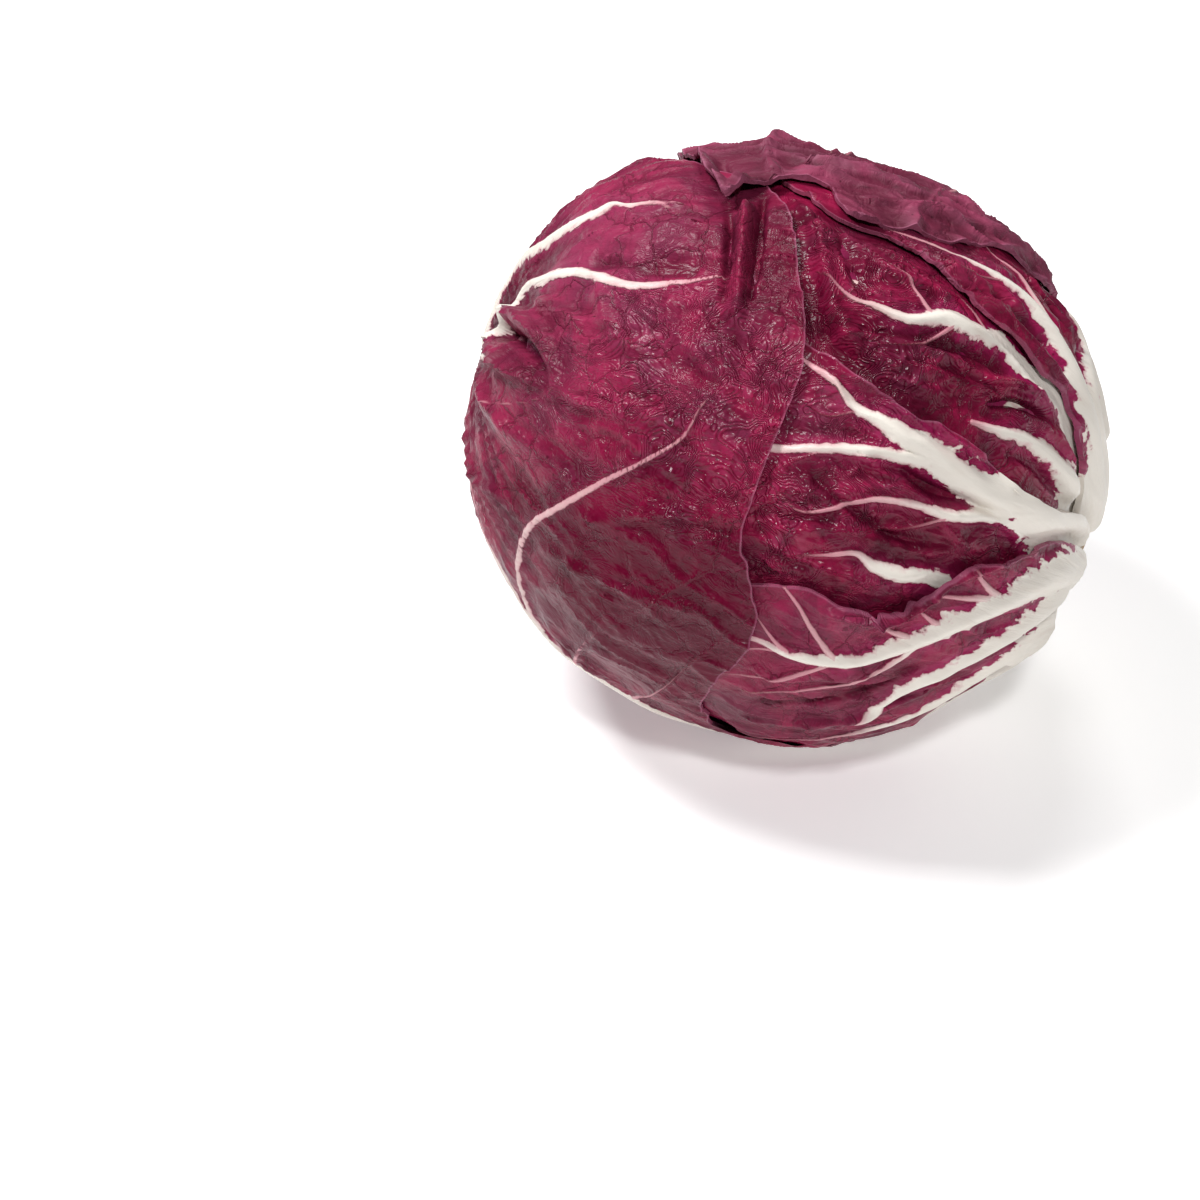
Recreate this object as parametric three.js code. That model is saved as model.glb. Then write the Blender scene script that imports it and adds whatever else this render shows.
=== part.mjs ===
// A head of red-leaved chicory, sold as red leaf lettuce: a short pale stem with leaves packed round it in a ball.
// The head lies on its side, as picked. Its cut stem points to +X and a little down, and one leaf is pressed
// flat where the head rests. Millimetres, +Z up. The origin is on the resting spot, straight below the middle
// of the head.
//
// A place on the head is given by two angles in degrees: "up" counts from the cut stem (0) over the widest part
// (90) to the tip (180), and "round" counts round the stem's axis from the topmost line (0) towards the front (90).

import * as THREE from "three";

// ---- driving dimensions ----
const HEAD_LENGTH = 132; // along the stem's axis
const HEAD_WIDTH = 123.2; // across it
const CENTRE_HEIGHT = 60; // under half the width, so that the underside is pressed flat
const STEM_AXIS = new THREE.Vector3(0.905, -0.145, -0.39).normalize();

// Thickness, and pitch from one leaf's outside to the next one's where they lie on each other, are shares of the
// distance from the middle of the head, because inner leaves are smaller and thinner. The tuck is in millimetres on
// the outside of the head: past a leaf's edge, the leaf below stays down over the margin and rises over the width.
const OUTER_KIND = {
  thickness: 0.0145,
  pitch: 0.03,
  tuck: { margin: 3, width: 22 },
  grid: { spokes: 34, rings: 5 },
};
const INNER_KIND = {
  thickness: 0.020,
  pitch: 0.085,
  tuck: { margin: 9, width: 34 },
  grid: { spokes: 22, rings: 4 },
};
const WRAP_GRID = { spokes: 44, rings: 8 }; // for the one leaf that reaches round the tip
const TUCK_SHARE_AT_STEM = 0.7; // tucks are this much shorter where the leaves are narrow, at the stem
const TUCK_SHARE_PRESSED = 0.6; // and this much shorter where the head's weight presses it on the floor
const PRESSED_FROM = 0.93; // how straight down a place is seen from the middle of the head, where pressing starts
const PRESSED_FULL = 0.98;
const RIB_EXTRA = 0.008; // the leaves are this much thicker near the stem, where their ribs are
const RIB_PITCH_EXTRA = 0.011;
const RIB_FROM = 65; // degrees up where that thickening starts
const RIB_FULL = 22; // degrees up where it is complete

const INNER_LEAVES = 15;
const GOLDEN_ANGLE = 137.5; // each new leaf grows this much further round the stem

const STEM_BUTT = 66; // how far the cut end is from the middle of the head
const STEM_TIP = 30;
const STEM_RADIUS = 13;
const STEM_NECK_RADIUS = 8.5;
const HEART_TIP = -15; // the far end of the heart bud, past the middle of the head
const HEART_RADIUS = 11;
const FIT_GAP = 0.7; // kept between the leaves' cut bases and the stem

const RED = 0x7a1f3f;
const DULL_RED = 0x83394f;
const INNER_RED = 0x8c2f52;
const PALE = 0xe6ded2;

// ---- places on the head ----
const HEAD_CENTRE = new THREE.Vector3(0, 0, CENTRE_HEIGHT);
const WORLD_UP = new THREE.Vector3(0, 0, 1);
const TOP_LINE = WORLD_UP.clone()
  .addScaledVector(STEM_AXIS, -WORLD_UP.dot(STEM_AXIS))
  .normalize();
const FRONT_LINE = new THREE.Vector3().crossVectors(STEM_AXIS, TOP_LINE);

const { clamp, degToRad, lerp, radToDeg, smoothstep } = THREE.MathUtils;

function place(up, round) {
  const fromStem = degToRad(up);
  const turn = degToRad(round);
  return new THREE.Vector3()
    .addScaledVector(STEM_AXIS, Math.cos(fromStem))
    .addScaledVector(TOP_LINE, Math.sin(fromStem) * Math.cos(turn))
    .addScaledVector(FRONT_LINE, Math.sin(fromStem) * Math.sin(turn));
}

function upOf(direction) {
  return radToDeg(Math.acos(clamp(direction.dot(STEM_AXIS), -1, 1)));
}

// Distance from the middle of the head to its outside: a slightly long ball, pressed flat on the floor.
function headRadius(direction) {
  const along = direction.dot(STEM_AXIS);
  const across2 = Math.max(0, 1 - along * along);
  const ball =
    1 / Math.hypot(along / (HEAD_LENGTH / 2), Math.sqrt(across2) / (HEAD_WIDTH / 2));
  return direction.z < 0 ? Math.min(ball, CENTRE_HEIGHT / -direction.z) : ball;
}

// 1 at the stem, where the ribs are thick, and 0 on the blades.
function ribShare(direction) {
  return 1 - smoothstep(upOf(direction), RIB_FULL, RIB_FROM);
}

// ---- leaves ----
// A leaf is known by its outline on the head. Leaves are listed from the outermost inwards, and each one lies
// under every leaf before it, so it is pushed inwards wherever they cover it.
class Leaf {
  constructor({ name, outline, colour, kind, grid }) {
    this.name = name;
    this.colour = colour;
    this.kind = kind;
    this.grid = grid ?? kind.grid;
    const corners = outline.map(([up, round]) => place(up, round));
    const curve = new THREE.CatmullRomCurve3(corners, true, "centripetal");
    this.edge = curve.getSpacedPoints(140).map((p) => p.normalize());
    this.centre = new THREE.Vector3();
    for (const p of this.edge) this.centre.add(p);
    this.centre.normalize();
    this.across = new THREE.Vector3().crossVectors(STEM_AXIS, this.centre).normalize();
    this.along = new THREE.Vector3().crossVectors(this.centre, this.across);
    this.flatEdge = this.edge.map((p) => this.flatten(p));
  }

  // The leaf laid flat round its centre: angle from the centre, in degrees, along two directions.
  flatten(direction) {
    const angle = radToDeg(Math.acos(clamp(direction.dot(this.centre), -1, 1)));
    const x = direction.dot(this.across);
    const y = direction.dot(this.along);
    const length = Math.hypot(x, y) || 1;
    return [(angle * x) / length, (angle * y) / length];
  }

  bend(x, y) {
    const angle = Math.hypot(x, y);
    if (angle === 0) return this.centre.clone();
    const sine = Math.sin(degToRad(angle)) / angle;
    return this.centre
      .clone()
      .multiplyScalar(Math.cos(degToRad(angle)))
      .addScaledVector(this.across, sine * x)
      .addScaledVector(this.along, sine * y);
  }

  holds(direction) {
    const [x, y] = this.flatten(direction);
    let inside = false;
    this.flatEdge.forEach(([x1, y1], i) => {
      const [x0, y0] = this.flatEdge.at(i - 1);
      if (y0 > y !== y1 > y && x < x0 + ((y - y0) * (x1 - x0)) / (y1 - y0)) inside = !inside;
    });
    return inside;
  }

  // How fully the leaf covers a place: 1 under it, falling to 0 a little way past its edge.
  cover(direction) {
    if (this.holds(direction)) return 1;
    const nearest = Math.max(...this.edge.map((p) => p.dot(direction)));
    const distance = Math.acos(clamp(nearest, -1, 1)) * (HEAD_WIDTH / 2);
    const pressed = smoothstep(-direction.z, PRESSED_FROM, PRESSED_FULL);
    const share =
      lerp(1, TUCK_SHARE_AT_STEM, ribShare(direction)) * lerp(1, TUCK_SHARE_PRESSED, pressed);
    const { margin, width } = this.kind.tuck;
    return 1 - smoothstep(distance, share * margin, share * (margin + width));
  }
}

function outsideRadius(leaf, direction) {
  let radius = headRadius(direction);
  const rib = ribShare(direction) * RIB_PITCH_EXTRA;
  for (const above of leaves) {
    if (above === leaf) break;
    radius *= 1 - (above.kind.pitch + rib) * above.cover(direction);
  }
  return radius;
}

// A closed shell: rings of points round the leaf's centre, on its outside and again on its inside.
function leafGeometry(leaf) {
  const { spokes, rings } = leaf.grid;
  const edge = Array.from({ length: spokes }, (_, i) => {
    return leaf.flatEdge[Math.round((i * leaf.flatEdge.length) / spokes) % leaf.flatEdge.length];
  });
  const directions = [leaf.centre];
  for (let ring = 1; ring <= rings; ring++) {
    for (const [x, y] of edge) directions.push(leaf.bend((x * ring) / rings, (y * ring) / rings));
  }
  const outside = directions.map((d) => {
    return HEAD_CENTRE.clone().addScaledVector(d, outsideRadius(leaf, d));
  });
  const inside = directions.map((d) => {
    const share = 1 - leaf.kind.thickness - ribShare(d) * RIB_EXTRA;
    return HEAD_CENTRE.clone().addScaledVector(d, outsideRadius(leaf, d) * share);
  });

  const count = directions.length;
  const at = (ring, spoke) => (ring === 0 ? 0 : 1 + (ring - 1) * spokes + (spoke % spokes));
  const faces = [];
  for (let spoke = 0; spoke < spokes; spoke++) {
    for (let ring = 0; ring < rings; ring++) {
      const a = at(ring, spoke);
      const b = at(ring + 1, spoke);
      const c = at(ring + 1, spoke + 1);
      const d = at(ring, spoke + 1);
      faces.push([a, c, b], [count + a, count + b, count + c]);
      if (ring > 0) faces.push([a, d, c], [count + a, count + c, count + d]);
    }
    const b = at(rings, spoke);
    const c = at(rings, spoke + 1);
    faces.push([b, count + c, count + b], [b, c, count + c]);
  }
  return new THREE.BufferGeometry()
    .setFromPoints([...outside, ...inside])
    .setIndex(faces.flat());
}

// Outer leaves, outermost first. Each outline runs round the leaf from its cut base.
const OUTER_LEAVES = [
  {
    name: "cap_leaf",
    colour: DULL_RED,
    outline: [
      [14, -72], [14, -52], [30, -39], [46, -28], [55, -21], [64, -13], [72, -9], [78, -4], [84, 0],
      [90, 2], [96, 4], [101, 6], [104, 3], [107, -3], [111, -4], [116, -3], [120, 2], [124, 8],
      [128, 0], [131, -14], [134, -38], [128, -68], [112, -92], [88, -104], [60, -104], [34, -94],
    ],
  },
  {
    name: "tip_wrap_leaf",
    colour: RED,
    grid: WRAP_GRID,
    outline: [
      [14, 142], [14, 160], [45, 160], [70, 160], [88, 160], [104, 164], [118, 176], [130, 195],
      [140, 225], [146, 265], [144, 300], [138, 330], [130, 346], [121, 356], [116, 4], [112, 12],
      [109, 22], [105, 30], [102, 41], [101, 60], [99, 73], [94, 80], [90, 86], [88, 94], [89, 106],
      [87, 120], [78, 133], [62, 141], [45, 142],
    ],
  },
  {
    name: "low_front_leaf",
    colour: RED,
    outline: [
      [14, 44], [14, 82], [22, 100], [30, 114], [42, 124], [56, 130], [70, 134], [88, 136],
      [104, 136], [116, 128], [120, 112], [116, 96], [106, 88], [97, 84], [91, 80], [85, 77],
      [78, 77], [71, 76], [66, 74], [63, 70], [60, 65], [56, 61], [49, 58], [39, 51], [28, 45],
    ],
  },
  {
    name: "mid_front_leaf",
    colour: RED,
    outline: [
      [14, 32], [14, 58], [28, 62], [45, 74], [60, 86], [76, 94], [92, 98], [107, 96], [119, 85],
      [127, 66], [126, 50], [117, 42], [108, 39], [100, 41], [92, 42], [84, 41], [76, 40], [66, 41],
      [56, 43], [44, 42], [30, 35],
    ],
  },
  {
    name: "shoulder_leaf",
    colour: RED,
    outline: [
      [14, -8], [14, 24], [32, 24], [44, 18], [50, 15], [57, 16], [65, 15], [75, 14], [85, 10],
      [94, 6], [100, 6], [106, 4], [117, -8], [120, -28], [110, -44], [90, -50], [66, -48],
      [42, -40], [27, -28],
    ],
  },
  {
    name: "under_leaf",
    colour: RED,
    outline: [
      [14, 160], [14, 190], [30, 200], [48, 212], [68, 220], [90, 222], [108, 215], [120, 198],
      [124, 178], [120, 158], [108, 140], [90, 130], [68, 130], [48, 138], [30, 150],
    ],
  },
  {
    name: "back_top_leaf",
    colour: RED,
    outline: [
      [14, -116], [14, -86], [30, -74], [52, -62], [78, -55], [103, -58], [122, -74], [132, -100],
      [128, -130], [112, -148], [90, -152], [66, -146], [44, -134], [28, -126],
    ],
  },
  {
    name: "upper_front_leaf",
    colour: RED,
    outline: [
      [14, 10], [14, 42], [30, 50], [48, 60], [68, 66], [86, 66], [100, 60], [108, 50], [113, 38],
      [116, 26], [119, 14], [121, 4], [120, -8], [112, -22], [94, -26], [70, -22], [48, -12],
      [30, 0],
    ],
  },
  {
    name: "back_low_leaf",
    colour: RED,
    outline: [
      [14, -162], [14, -130], [30, -116], [52, -102], [78, -96], [104, -100], [126, -114],
      [140, -140], [136, -176], [120, -200], [96, -208], [70, -202], [46, -190], [28, -176],
    ],
  },
  {
    name: "side_leaf",
    colour: RED,
    outline: [
      [14, 94], [14, 126], [28, 140], [48, 152], [72, 160], [98, 160], [118, 148], [130, 124],
      [128, 94], [114, 76], [94, 68], [70, 70], [48, 76], [28, 84],
    ],
  },
];

// Inner leaves share one spoon shape: [degrees up, degrees to each side of the leaf's middle].
const SPOON = [
  [26, 20], [45, 42], [66, 62], [88, 74], [110, 78], [132, 72], [150, 58],
];
const SPOON_TIP = 163;
const SPOON_BASE_HALF = 16;

function innerOutline(round, baseUp) {
  const side = (sign) =>
    SPOON.filter(([up]) => up > baseUp + 6).map(([up, half]) => [up, round + sign * half]);
  return [
    [baseUp, round - SPOON_BASE_HALF],
    [baseUp, round + SPOON_BASE_HALF],
    ...side(1),
    [SPOON_TIP, round],
    ...side(-1).reverse(),
  ];
}

// How far from the axis a leaf's cut base stays, to clear the stem.
function stemRadiusAt(fromMiddle) {
  return THREE.MathUtils.mapLinear(
    clamp(fromMiddle, STEM_TIP, STEM_BUTT), STEM_TIP, STEM_BUTT, STEM_NECK_RADIUS, STEM_RADIUS,
  );
}

const leaves = OUTER_LEAVES.map((leaf) => new Leaf({ ...leaf, kind: OUTER_KIND }));

for (let i = 0; i < INNER_LEAVES; i++) {
  const round = 20 + i * GOLDEN_ANGLE;
  const reach = outsideRadius(null, place(20, round));
  const baseUp = radToDeg(Math.asin((stemRadiusAt(reach) + FIT_GAP) / reach)) + 1.5;
  const name = `inner_leaf_${String(i + 1).padStart(2, "0")}`;
  const outline = innerOutline(round, baseUp);
  leaves.push(new Leaf({ name, outline, colour: INNER_RED, kind: INNER_KIND }));
}

// ---- stem and heart ----
// Both are turned round the stem's axis. A profile is a list of [distance from the axis, distance from the middle].
function turned(profile) {
  const points = profile.map(([r, h]) => new THREE.Vector2(r, h));
  const turn = new THREE.Quaternion().setFromUnitVectors(new THREE.Vector3(0, 1, 0), STEM_AXIS);
  return new THREE.LatheGeometry(points, 20)
    .applyQuaternion(turn)
    .translate(...HEAD_CENTRE);
}

const stemGeometry = turned([
  [0, STEM_TIP],
  [STEM_NECK_RADIUS * 0.7, STEM_TIP + 1.5],
  [STEM_NECK_RADIUS, STEM_TIP + 6],
  [(STEM_NECK_RADIUS + STEM_RADIUS) / 2, (STEM_TIP + STEM_BUTT) / 2],
  [STEM_RADIUS, STEM_BUTT - 4],
  [STEM_RADIUS - 1, STEM_BUTT],
  [0, STEM_BUTT],
]);

const heartGeometry = turned([
  [0, HEART_TIP],
  [HEART_RADIUS * 0.55, HEART_TIP + 3],
  [HEART_RADIUS * 0.95, HEART_TIP + 11],
  [HEART_RADIUS, 4],
  [HEART_RADIUS * 0.75, 14],
  [HEART_RADIUS * 0.45, STEM_TIP - FIT_GAP],
  [0, STEM_TIP - FIT_GAP],
]);

// ---- the head ----
function piece(name, geometry, color, roughness) {
  geometry.computeVertexNormals();
  const material = new THREE.MeshStandardMaterial({ color, roughness, metalness: 0 });
  const mesh = new THREE.Mesh(geometry, material);
  mesh.name = name;
  return mesh;
}

const head = new THREE.Group();
head.name = "red_leaf_lettuce";
head.add(piece("stem", stemGeometry, PALE, 0.7));
head.add(piece("heart_bud", heartGeometry, PALE, 0.6));
for (const leaf of leaves) head.add(piece(leaf.name, leafGeometry(leaf), leaf.colour, 0.45));

export default head;
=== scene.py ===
# %% [markdown]
# # A head of red-leaved chicory
# The head is a short pale stem with leaves wrapped round it in a ball. It lies on its side with the cut
# stem to the right. Each leaf is a thin sheet: white and thick where its ribs leave the stem, dark red and
# wrinkled further out. A sheet like this could be sculpted by hand, or grown from a flat grid. We take the
# grid: we bend it over the ball, push it under the leaves that lie on top, and then raise ribs, folds and
# wrinkles from it.

# %% Load the plain solid model, which fixes every size and place
import math
from functools import partial

import bpy
import numpy as np
from mathutils import Matrix


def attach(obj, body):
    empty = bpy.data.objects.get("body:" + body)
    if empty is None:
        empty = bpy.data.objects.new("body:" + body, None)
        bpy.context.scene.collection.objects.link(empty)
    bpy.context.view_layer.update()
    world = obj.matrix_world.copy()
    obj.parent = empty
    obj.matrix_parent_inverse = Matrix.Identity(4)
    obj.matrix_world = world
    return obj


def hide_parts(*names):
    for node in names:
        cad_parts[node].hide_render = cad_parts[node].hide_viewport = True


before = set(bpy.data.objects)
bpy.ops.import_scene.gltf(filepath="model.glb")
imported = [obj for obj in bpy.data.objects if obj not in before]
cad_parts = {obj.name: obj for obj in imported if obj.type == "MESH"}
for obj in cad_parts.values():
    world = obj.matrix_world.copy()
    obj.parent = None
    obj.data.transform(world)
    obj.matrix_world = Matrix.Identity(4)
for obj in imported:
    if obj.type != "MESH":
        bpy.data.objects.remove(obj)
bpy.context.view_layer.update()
MM = 0.001

# %% [markdown]
# ## Camera, floor and light
# A long lens from above the front, as for a catalogue picture: the head keeps its round shape. The head
# sits up and to the right of the middle of the frame. The camera is aimed by its angles, with no shift.

# %% Camera
HEAD_CENTRE = np.array([0.0, 0.0, 60.0])  # mm
CAMERA_DOWN = 40  # degrees
CAMERA_DISTANCE = 590.0  # mm
FRAME_LEFT, FRAME_LOW = 37.9, 33.0  # mm: from the middle of the head to the middle of the frame
FRAME_MIDDLE = HEAD_CENTRE - [FRAME_LEFT, FRAME_LOW * math.sin(math.radians(CAMERA_DOWN)),
                              FRAME_LOW * math.cos(math.radians(CAMERA_DOWN))]
camera_data = bpy.data.cameras.new("catalogue_camera")
camera_data.lens = 85
camera_data.sensor_width = 36
camera = bpy.data.objects.new("catalogue_camera", camera_data)
bpy.context.scene.collection.objects.link(camera)
camera_back = np.array([0, -math.cos(math.radians(CAMERA_DOWN)), math.sin(math.radians(CAMERA_DOWN))])
camera.location = (FRAME_MIDDLE + camera_back * CAMERA_DISTANCE) * MM
camera.rotation_euler = (math.radians(90 - CAMERA_DOWN), 0, 0)
bpy.context.scene.camera = camera
print("camera at", [round(v, 3) for v in camera.location])

# %% [markdown]
# ## Nodes and colours
# Colours are written as sRGB hex, as a colour picker shows them, and turned to the linear values that
# shaders use. One small function adds a shader node with its settings and links, which keeps each material
# short.

# %% Helpers for materials
def linear(hex_colour):
    """Turns "#rrggbb" into the linear colour a shader takes."""
    values = [int(hex_colour[i : i + 2], 16) / 255 for i in (1, 3, 5)]
    return [v / 12.92 if v <= 0.04045 else ((v + 0.055) / 1.055) ** 2.4 for v in values] + [1]


def add_node(material, kind, inputs=None, output=0, **settings):
    """Adds one node. An input is a number, a "#rrggbb" colour or another node's output."""
    node = material.node_tree.nodes.new(kind)
    for key, value in settings.items():
        setattr(node, key, value)
    for key, value in (inputs or {}).items():
        if isinstance(value, bpy.types.NodeSocket):
            material.node_tree.links.new(value, node.inputs[key])
        else:
            node.inputs[key].default_value = linear(value) if isinstance(value, str) else value
    return None if output is None else node.outputs[output]


def new_material(name):
    """An empty material with only its output node."""
    material = bpy.data.materials.new(name)
    material.use_nodes = True
    material.node_tree.nodes.clear()
    return material


def finish_material(material, shader):
    add_node(material, "ShaderNodeOutputMaterial", {"Surface": shader}, output=None)
    return material


# %% Floor
def deselect():
    """Operators act on whatever is selected, so nothing may be left selected."""
    if bpy.context.object and bpy.context.object.mode != "OBJECT":
        bpy.ops.object.mode_set(mode="OBJECT")
    bpy.ops.object.select_all(action="DESELECT")


FLOOR_SIDE, FLOOR_TOP = 6.0, -0.0002  # metres: just under the head, so the two never share a face
PAPER_GLOW = 0.32
deselect()
bpy.ops.mesh.primitive_plane_add(size=FLOOR_SIDE, location=(0, 0, FLOOR_TOP))
floor = bpy.context.object
floor.name = "studio_floor"
floor_paint = new_material("white sweep paper")
floor_paper = add_node(floor_paint, "ShaderNodeBsdfPrincipled", {
    "Base Color": "#f7f7f7", "Roughness": 0.8, "Emission Color": "#ffffff", "Emission Strength": PAPER_GLOW})
floor.data.materials.append(finish_material(floor_paint, floor_paper))
print("floor", [round(v, 2) for v in floor.dimensions])

# %% [markdown]
# ## Light
# One big soft box stands high on the left and one behind the head. A smaller one in front gives small sharp
# glints on the wet-looking skin. A dim white sky fills the shadows, and the paper under the head glows a
# little, as a backlit sweep does, so that it stays white.

# %% Lights
def soft_box(name, place_mm, aim_mm, size_mm, watts):
    light = bpy.data.lights.new(name, "AREA")
    light.shape = "RECTANGLE"
    light.size = size_mm[0] * MM
    light.size_y = size_mm[1] * MM
    light.energy = watts
    box = bpy.data.objects.new(name, light)
    bpy.context.scene.collection.objects.link(box)
    place = np.array(place_mm, float)
    back = place - np.array(aim_mm, float)
    back /= np.linalg.norm(back)
    side = np.cross([0, 0, 1.0], back)
    side /= np.linalg.norm(side)
    up = np.cross(back, side)
    box.matrix_world = Matrix([*np.column_stack([side, up, back, place * MM]).tolist(), [0, 0, 0, 1]])


soft_box("key_box", (-500, 60, 960), HEAD_CENTRE, (240, 240), 9.5)
soft_box("front_box", (80, -620, 890), HEAD_CENTRE, (120, 90), 4.6)
soft_box("rim_box", (60, 460, 900), HEAD_CENTRE, (240, 240), 2.4)
SKY_STRENGTH = 0.09
world = bpy.data.worlds.new("white room")
world.use_nodes = True
world.node_tree.nodes["Background"].inputs["Color"].default_value = linear("#fbfbff")
world.node_tree.nodes["Background"].inputs["Strength"].default_value = SKY_STRENGTH
bpy.context.scene.world = world
bpy.context.scene.view_settings.view_transform = "Standard"

# %% [markdown]
# ## Places on the head
# A place on the head is two angles in degrees. "Up" counts from the cut stem (0) over the widest part (90)
# to the tip (180). "Round" counts round the stem's axis from the topmost line (0) towards the front (90).
# With these a leaf can be drawn like a country on a globe, and it stays on the head however much the head
# is tilted.

# %% Directions from the middle of the head
HEAD_LENGTH, HEAD_WIDTH = 132.0, 123.2  # mm
STEM_AXIS = np.array([0.905, -0.145, -0.39])
STEM_AXIS /= np.linalg.norm(STEM_AXIS)
TOP_LINE = np.array([0, 0, 1.0]) - STEM_AXIS[2] * STEM_AXIS
TOP_LINE /= np.linalg.norm(TOP_LINE)
FRONT_LINE = np.cross(STEM_AXIS, TOP_LINE)
SKIN = HEAD_WIDTH / 2  # mm: turns an angle into a distance along the skin


def place(up, round_):
    """Unit direction from the middle of the head to a place on it."""
    up, round_ = np.radians(up), np.radians(round_)
    return (np.multiply.outer(np.cos(up), STEM_AXIS)
            + np.multiply.outer(np.sin(up) * np.cos(round_), TOP_LINE)
            + np.multiply.outer(np.sin(up) * np.sin(round_), FRONT_LINE))


def up_of(directions):
    return np.degrees(np.arccos(np.clip(directions @ STEM_AXIS, -1, 1)))


def round_of(directions):
    return np.degrees(np.arctan2(directions @ FRONT_LINE, directions @ TOP_LINE))


def smoothstep(low, high, values):
    t = np.clip((values - low) / (high - low), 0, 1)
    return t * t * (3 - 2 * t)


def skin_distance(directions, targets):
    """Distance along the skin, in mm, to the nearest of the targets, and which one that is."""
    nearest = np.empty(len(directions))
    which = np.empty(len(directions), int)
    for start in range(0, len(directions), 20000):
        part = slice(start, start + 20000)
        closeness = directions[part] @ targets.T
        which[part] = closeness.argmax(1)
        nearest[part] = closeness.max(1)
    return np.arccos(np.clip(nearest, -1, 1)) * SKIN, which


print("stem axis", STEM_AXIS.round(3), "top line", TOP_LINE.round(3))

# %% [markdown]
# ## Smooth random values
# Wrinkles need numbers that look random but change smoothly. This is gradient noise: random slopes at the
# corners of a grid of cubes, blended in between. The seed makes it the same every time.

# %% Noise
NOISE_CELLS = 32


def noise(points, size, seed):
    """Random values, about -1 to 1, that change over `size` in each direction."""
    slopes = np.random.default_rng(seed).normal(size=(NOISE_CELLS,) * 3 + (3,))
    slopes /= np.linalg.norm(slopes, axis=-1, keepdims=True)
    cells = points / np.asarray(size, float)
    corner = np.floor(cells).astype(int)
    inside = cells - corner
    fade = inside**3 * (inside * (inside * 6 - 15) + 10)
    total = np.zeros(len(points))
    for step in np.ndindex(2, 2, 2):
        step = np.array(step)
        index = (corner + step) % NOISE_CELLS
        slope = slopes[index[:, 0], index[:, 1], index[:, 2]]
        weight = np.prod(np.where(step, fade, 1 - fade), axis=1)
        total += weight * np.sum(slope * (inside - step), axis=1)
    return total * 1.6


def ridges(points, size, seed):
    """Noise folded into thin ridges: 1 on their crests, falling to 0."""
    return 1 - np.clip(np.abs(noise(points, size, seed)) * 2.2, 0, 1)


# %% [markdown]
# ## The shape all leaves share
# The head is a slightly long ball, pressed flat where it rests, with a few low lumps. A leaf follows it,
# and is pushed inwards wherever another leaf lies on top, so leaves never run through each other.

# %% Head, outlines and layers
CENTRE_HEIGHT = 60.0
BLADE_THICKNESS, RIB_THICKNESS = 0.85, 0.8  # mm: everywhere, and added near the stem
LUMP = 1.3  # mm
RIBS_FROM, RIBS_TO = 22, 65  # degrees from the stem: thick and grown together, and thin
# A leaf under another lies in by a share of the radius. Past the upper leaf's edge it stays down over the
# margin and rises over the width, both in mm.
OUTER_TUCK = {"pitch": 0.026, "margin": 0.5, "width": 8}
INNER_TUCK = {"pitch": 0.085, "margin": 9, "width": 34}
STEM_PITCH = 0.011  # added near the stem, for the thick ribs
TUCK_LESS_AT_STEM = 0.3  # tucks are this share shorter there


def head_radius(directions):
    along = directions @ STEM_AXIS
    across = np.sqrt(np.clip(1 - along**2, 0, 1))
    ball = 1 / np.hypot(along / (HEAD_LENGTH / 2), across / (HEAD_WIDTH / 2))
    ball = ball + LUMP * (noise(directions * SKIN, 34, 5) + 0.5 * noise(directions * SKIN, 15, 6))
    down = np.maximum(-directions[:, 2], 1e-6)
    return np.minimum(ball, CENTRE_HEIGHT / down)


def stem_share(directions):
    """1 at the stem, where leaves are thick, 0 on their blades."""
    return 1 - smoothstep(RIBS_FROM, RIBS_TO, up_of(directions))


def smooth_line(points, count, closed=False):
    """A curve through points given as rows of numbers, with evenly spaced results."""
    points = np.asarray(points, float)
    if closed:
        padded = np.vstack([points[-1:], points, points[:2]])
    else:
        padded = np.vstack([2 * points[:1] - points[1:2], points, 2 * points[-1:] - points[-2:-1]])
    steps = np.linspace(0, 1, 24, endpoint=False)[:, None]
    pieces = []
    for a, b, c, d in zip(padded, padded[1:], padded[2:], padded[3:]):
        ab, bc, cd = (max(np.linalg.norm(q - p) ** 0.5, 1e-6) for p, q in ((a, b), (b, c), (c, d)))
        slope_b = ((b - a) / ab - (c - a) / (ab + bc) + (c - b) / bc) * bc
        slope_c = ((c - b) / bc - (d - b) / (bc + cd) + (d - c) / cd) * bc
        pieces.append(b + slope_b * steps + (3 * (c - b) - 2 * slope_b - slope_c) * steps**2
                      + (2 * (b - c) + slope_b + slope_c) * steps**3)
    curve = np.vstack(pieces + [padded[1 if closed else -2][None]])
    length = np.concatenate([[0], np.cumsum(np.linalg.norm(np.diff(curve, axis=0), axis=1))])
    at = np.linspace(0, length[-1], count + 1 if closed else count)
    even = np.column_stack([np.interp(at, length, column) for column in curve.T])
    return even[:-1] if closed else even


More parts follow.
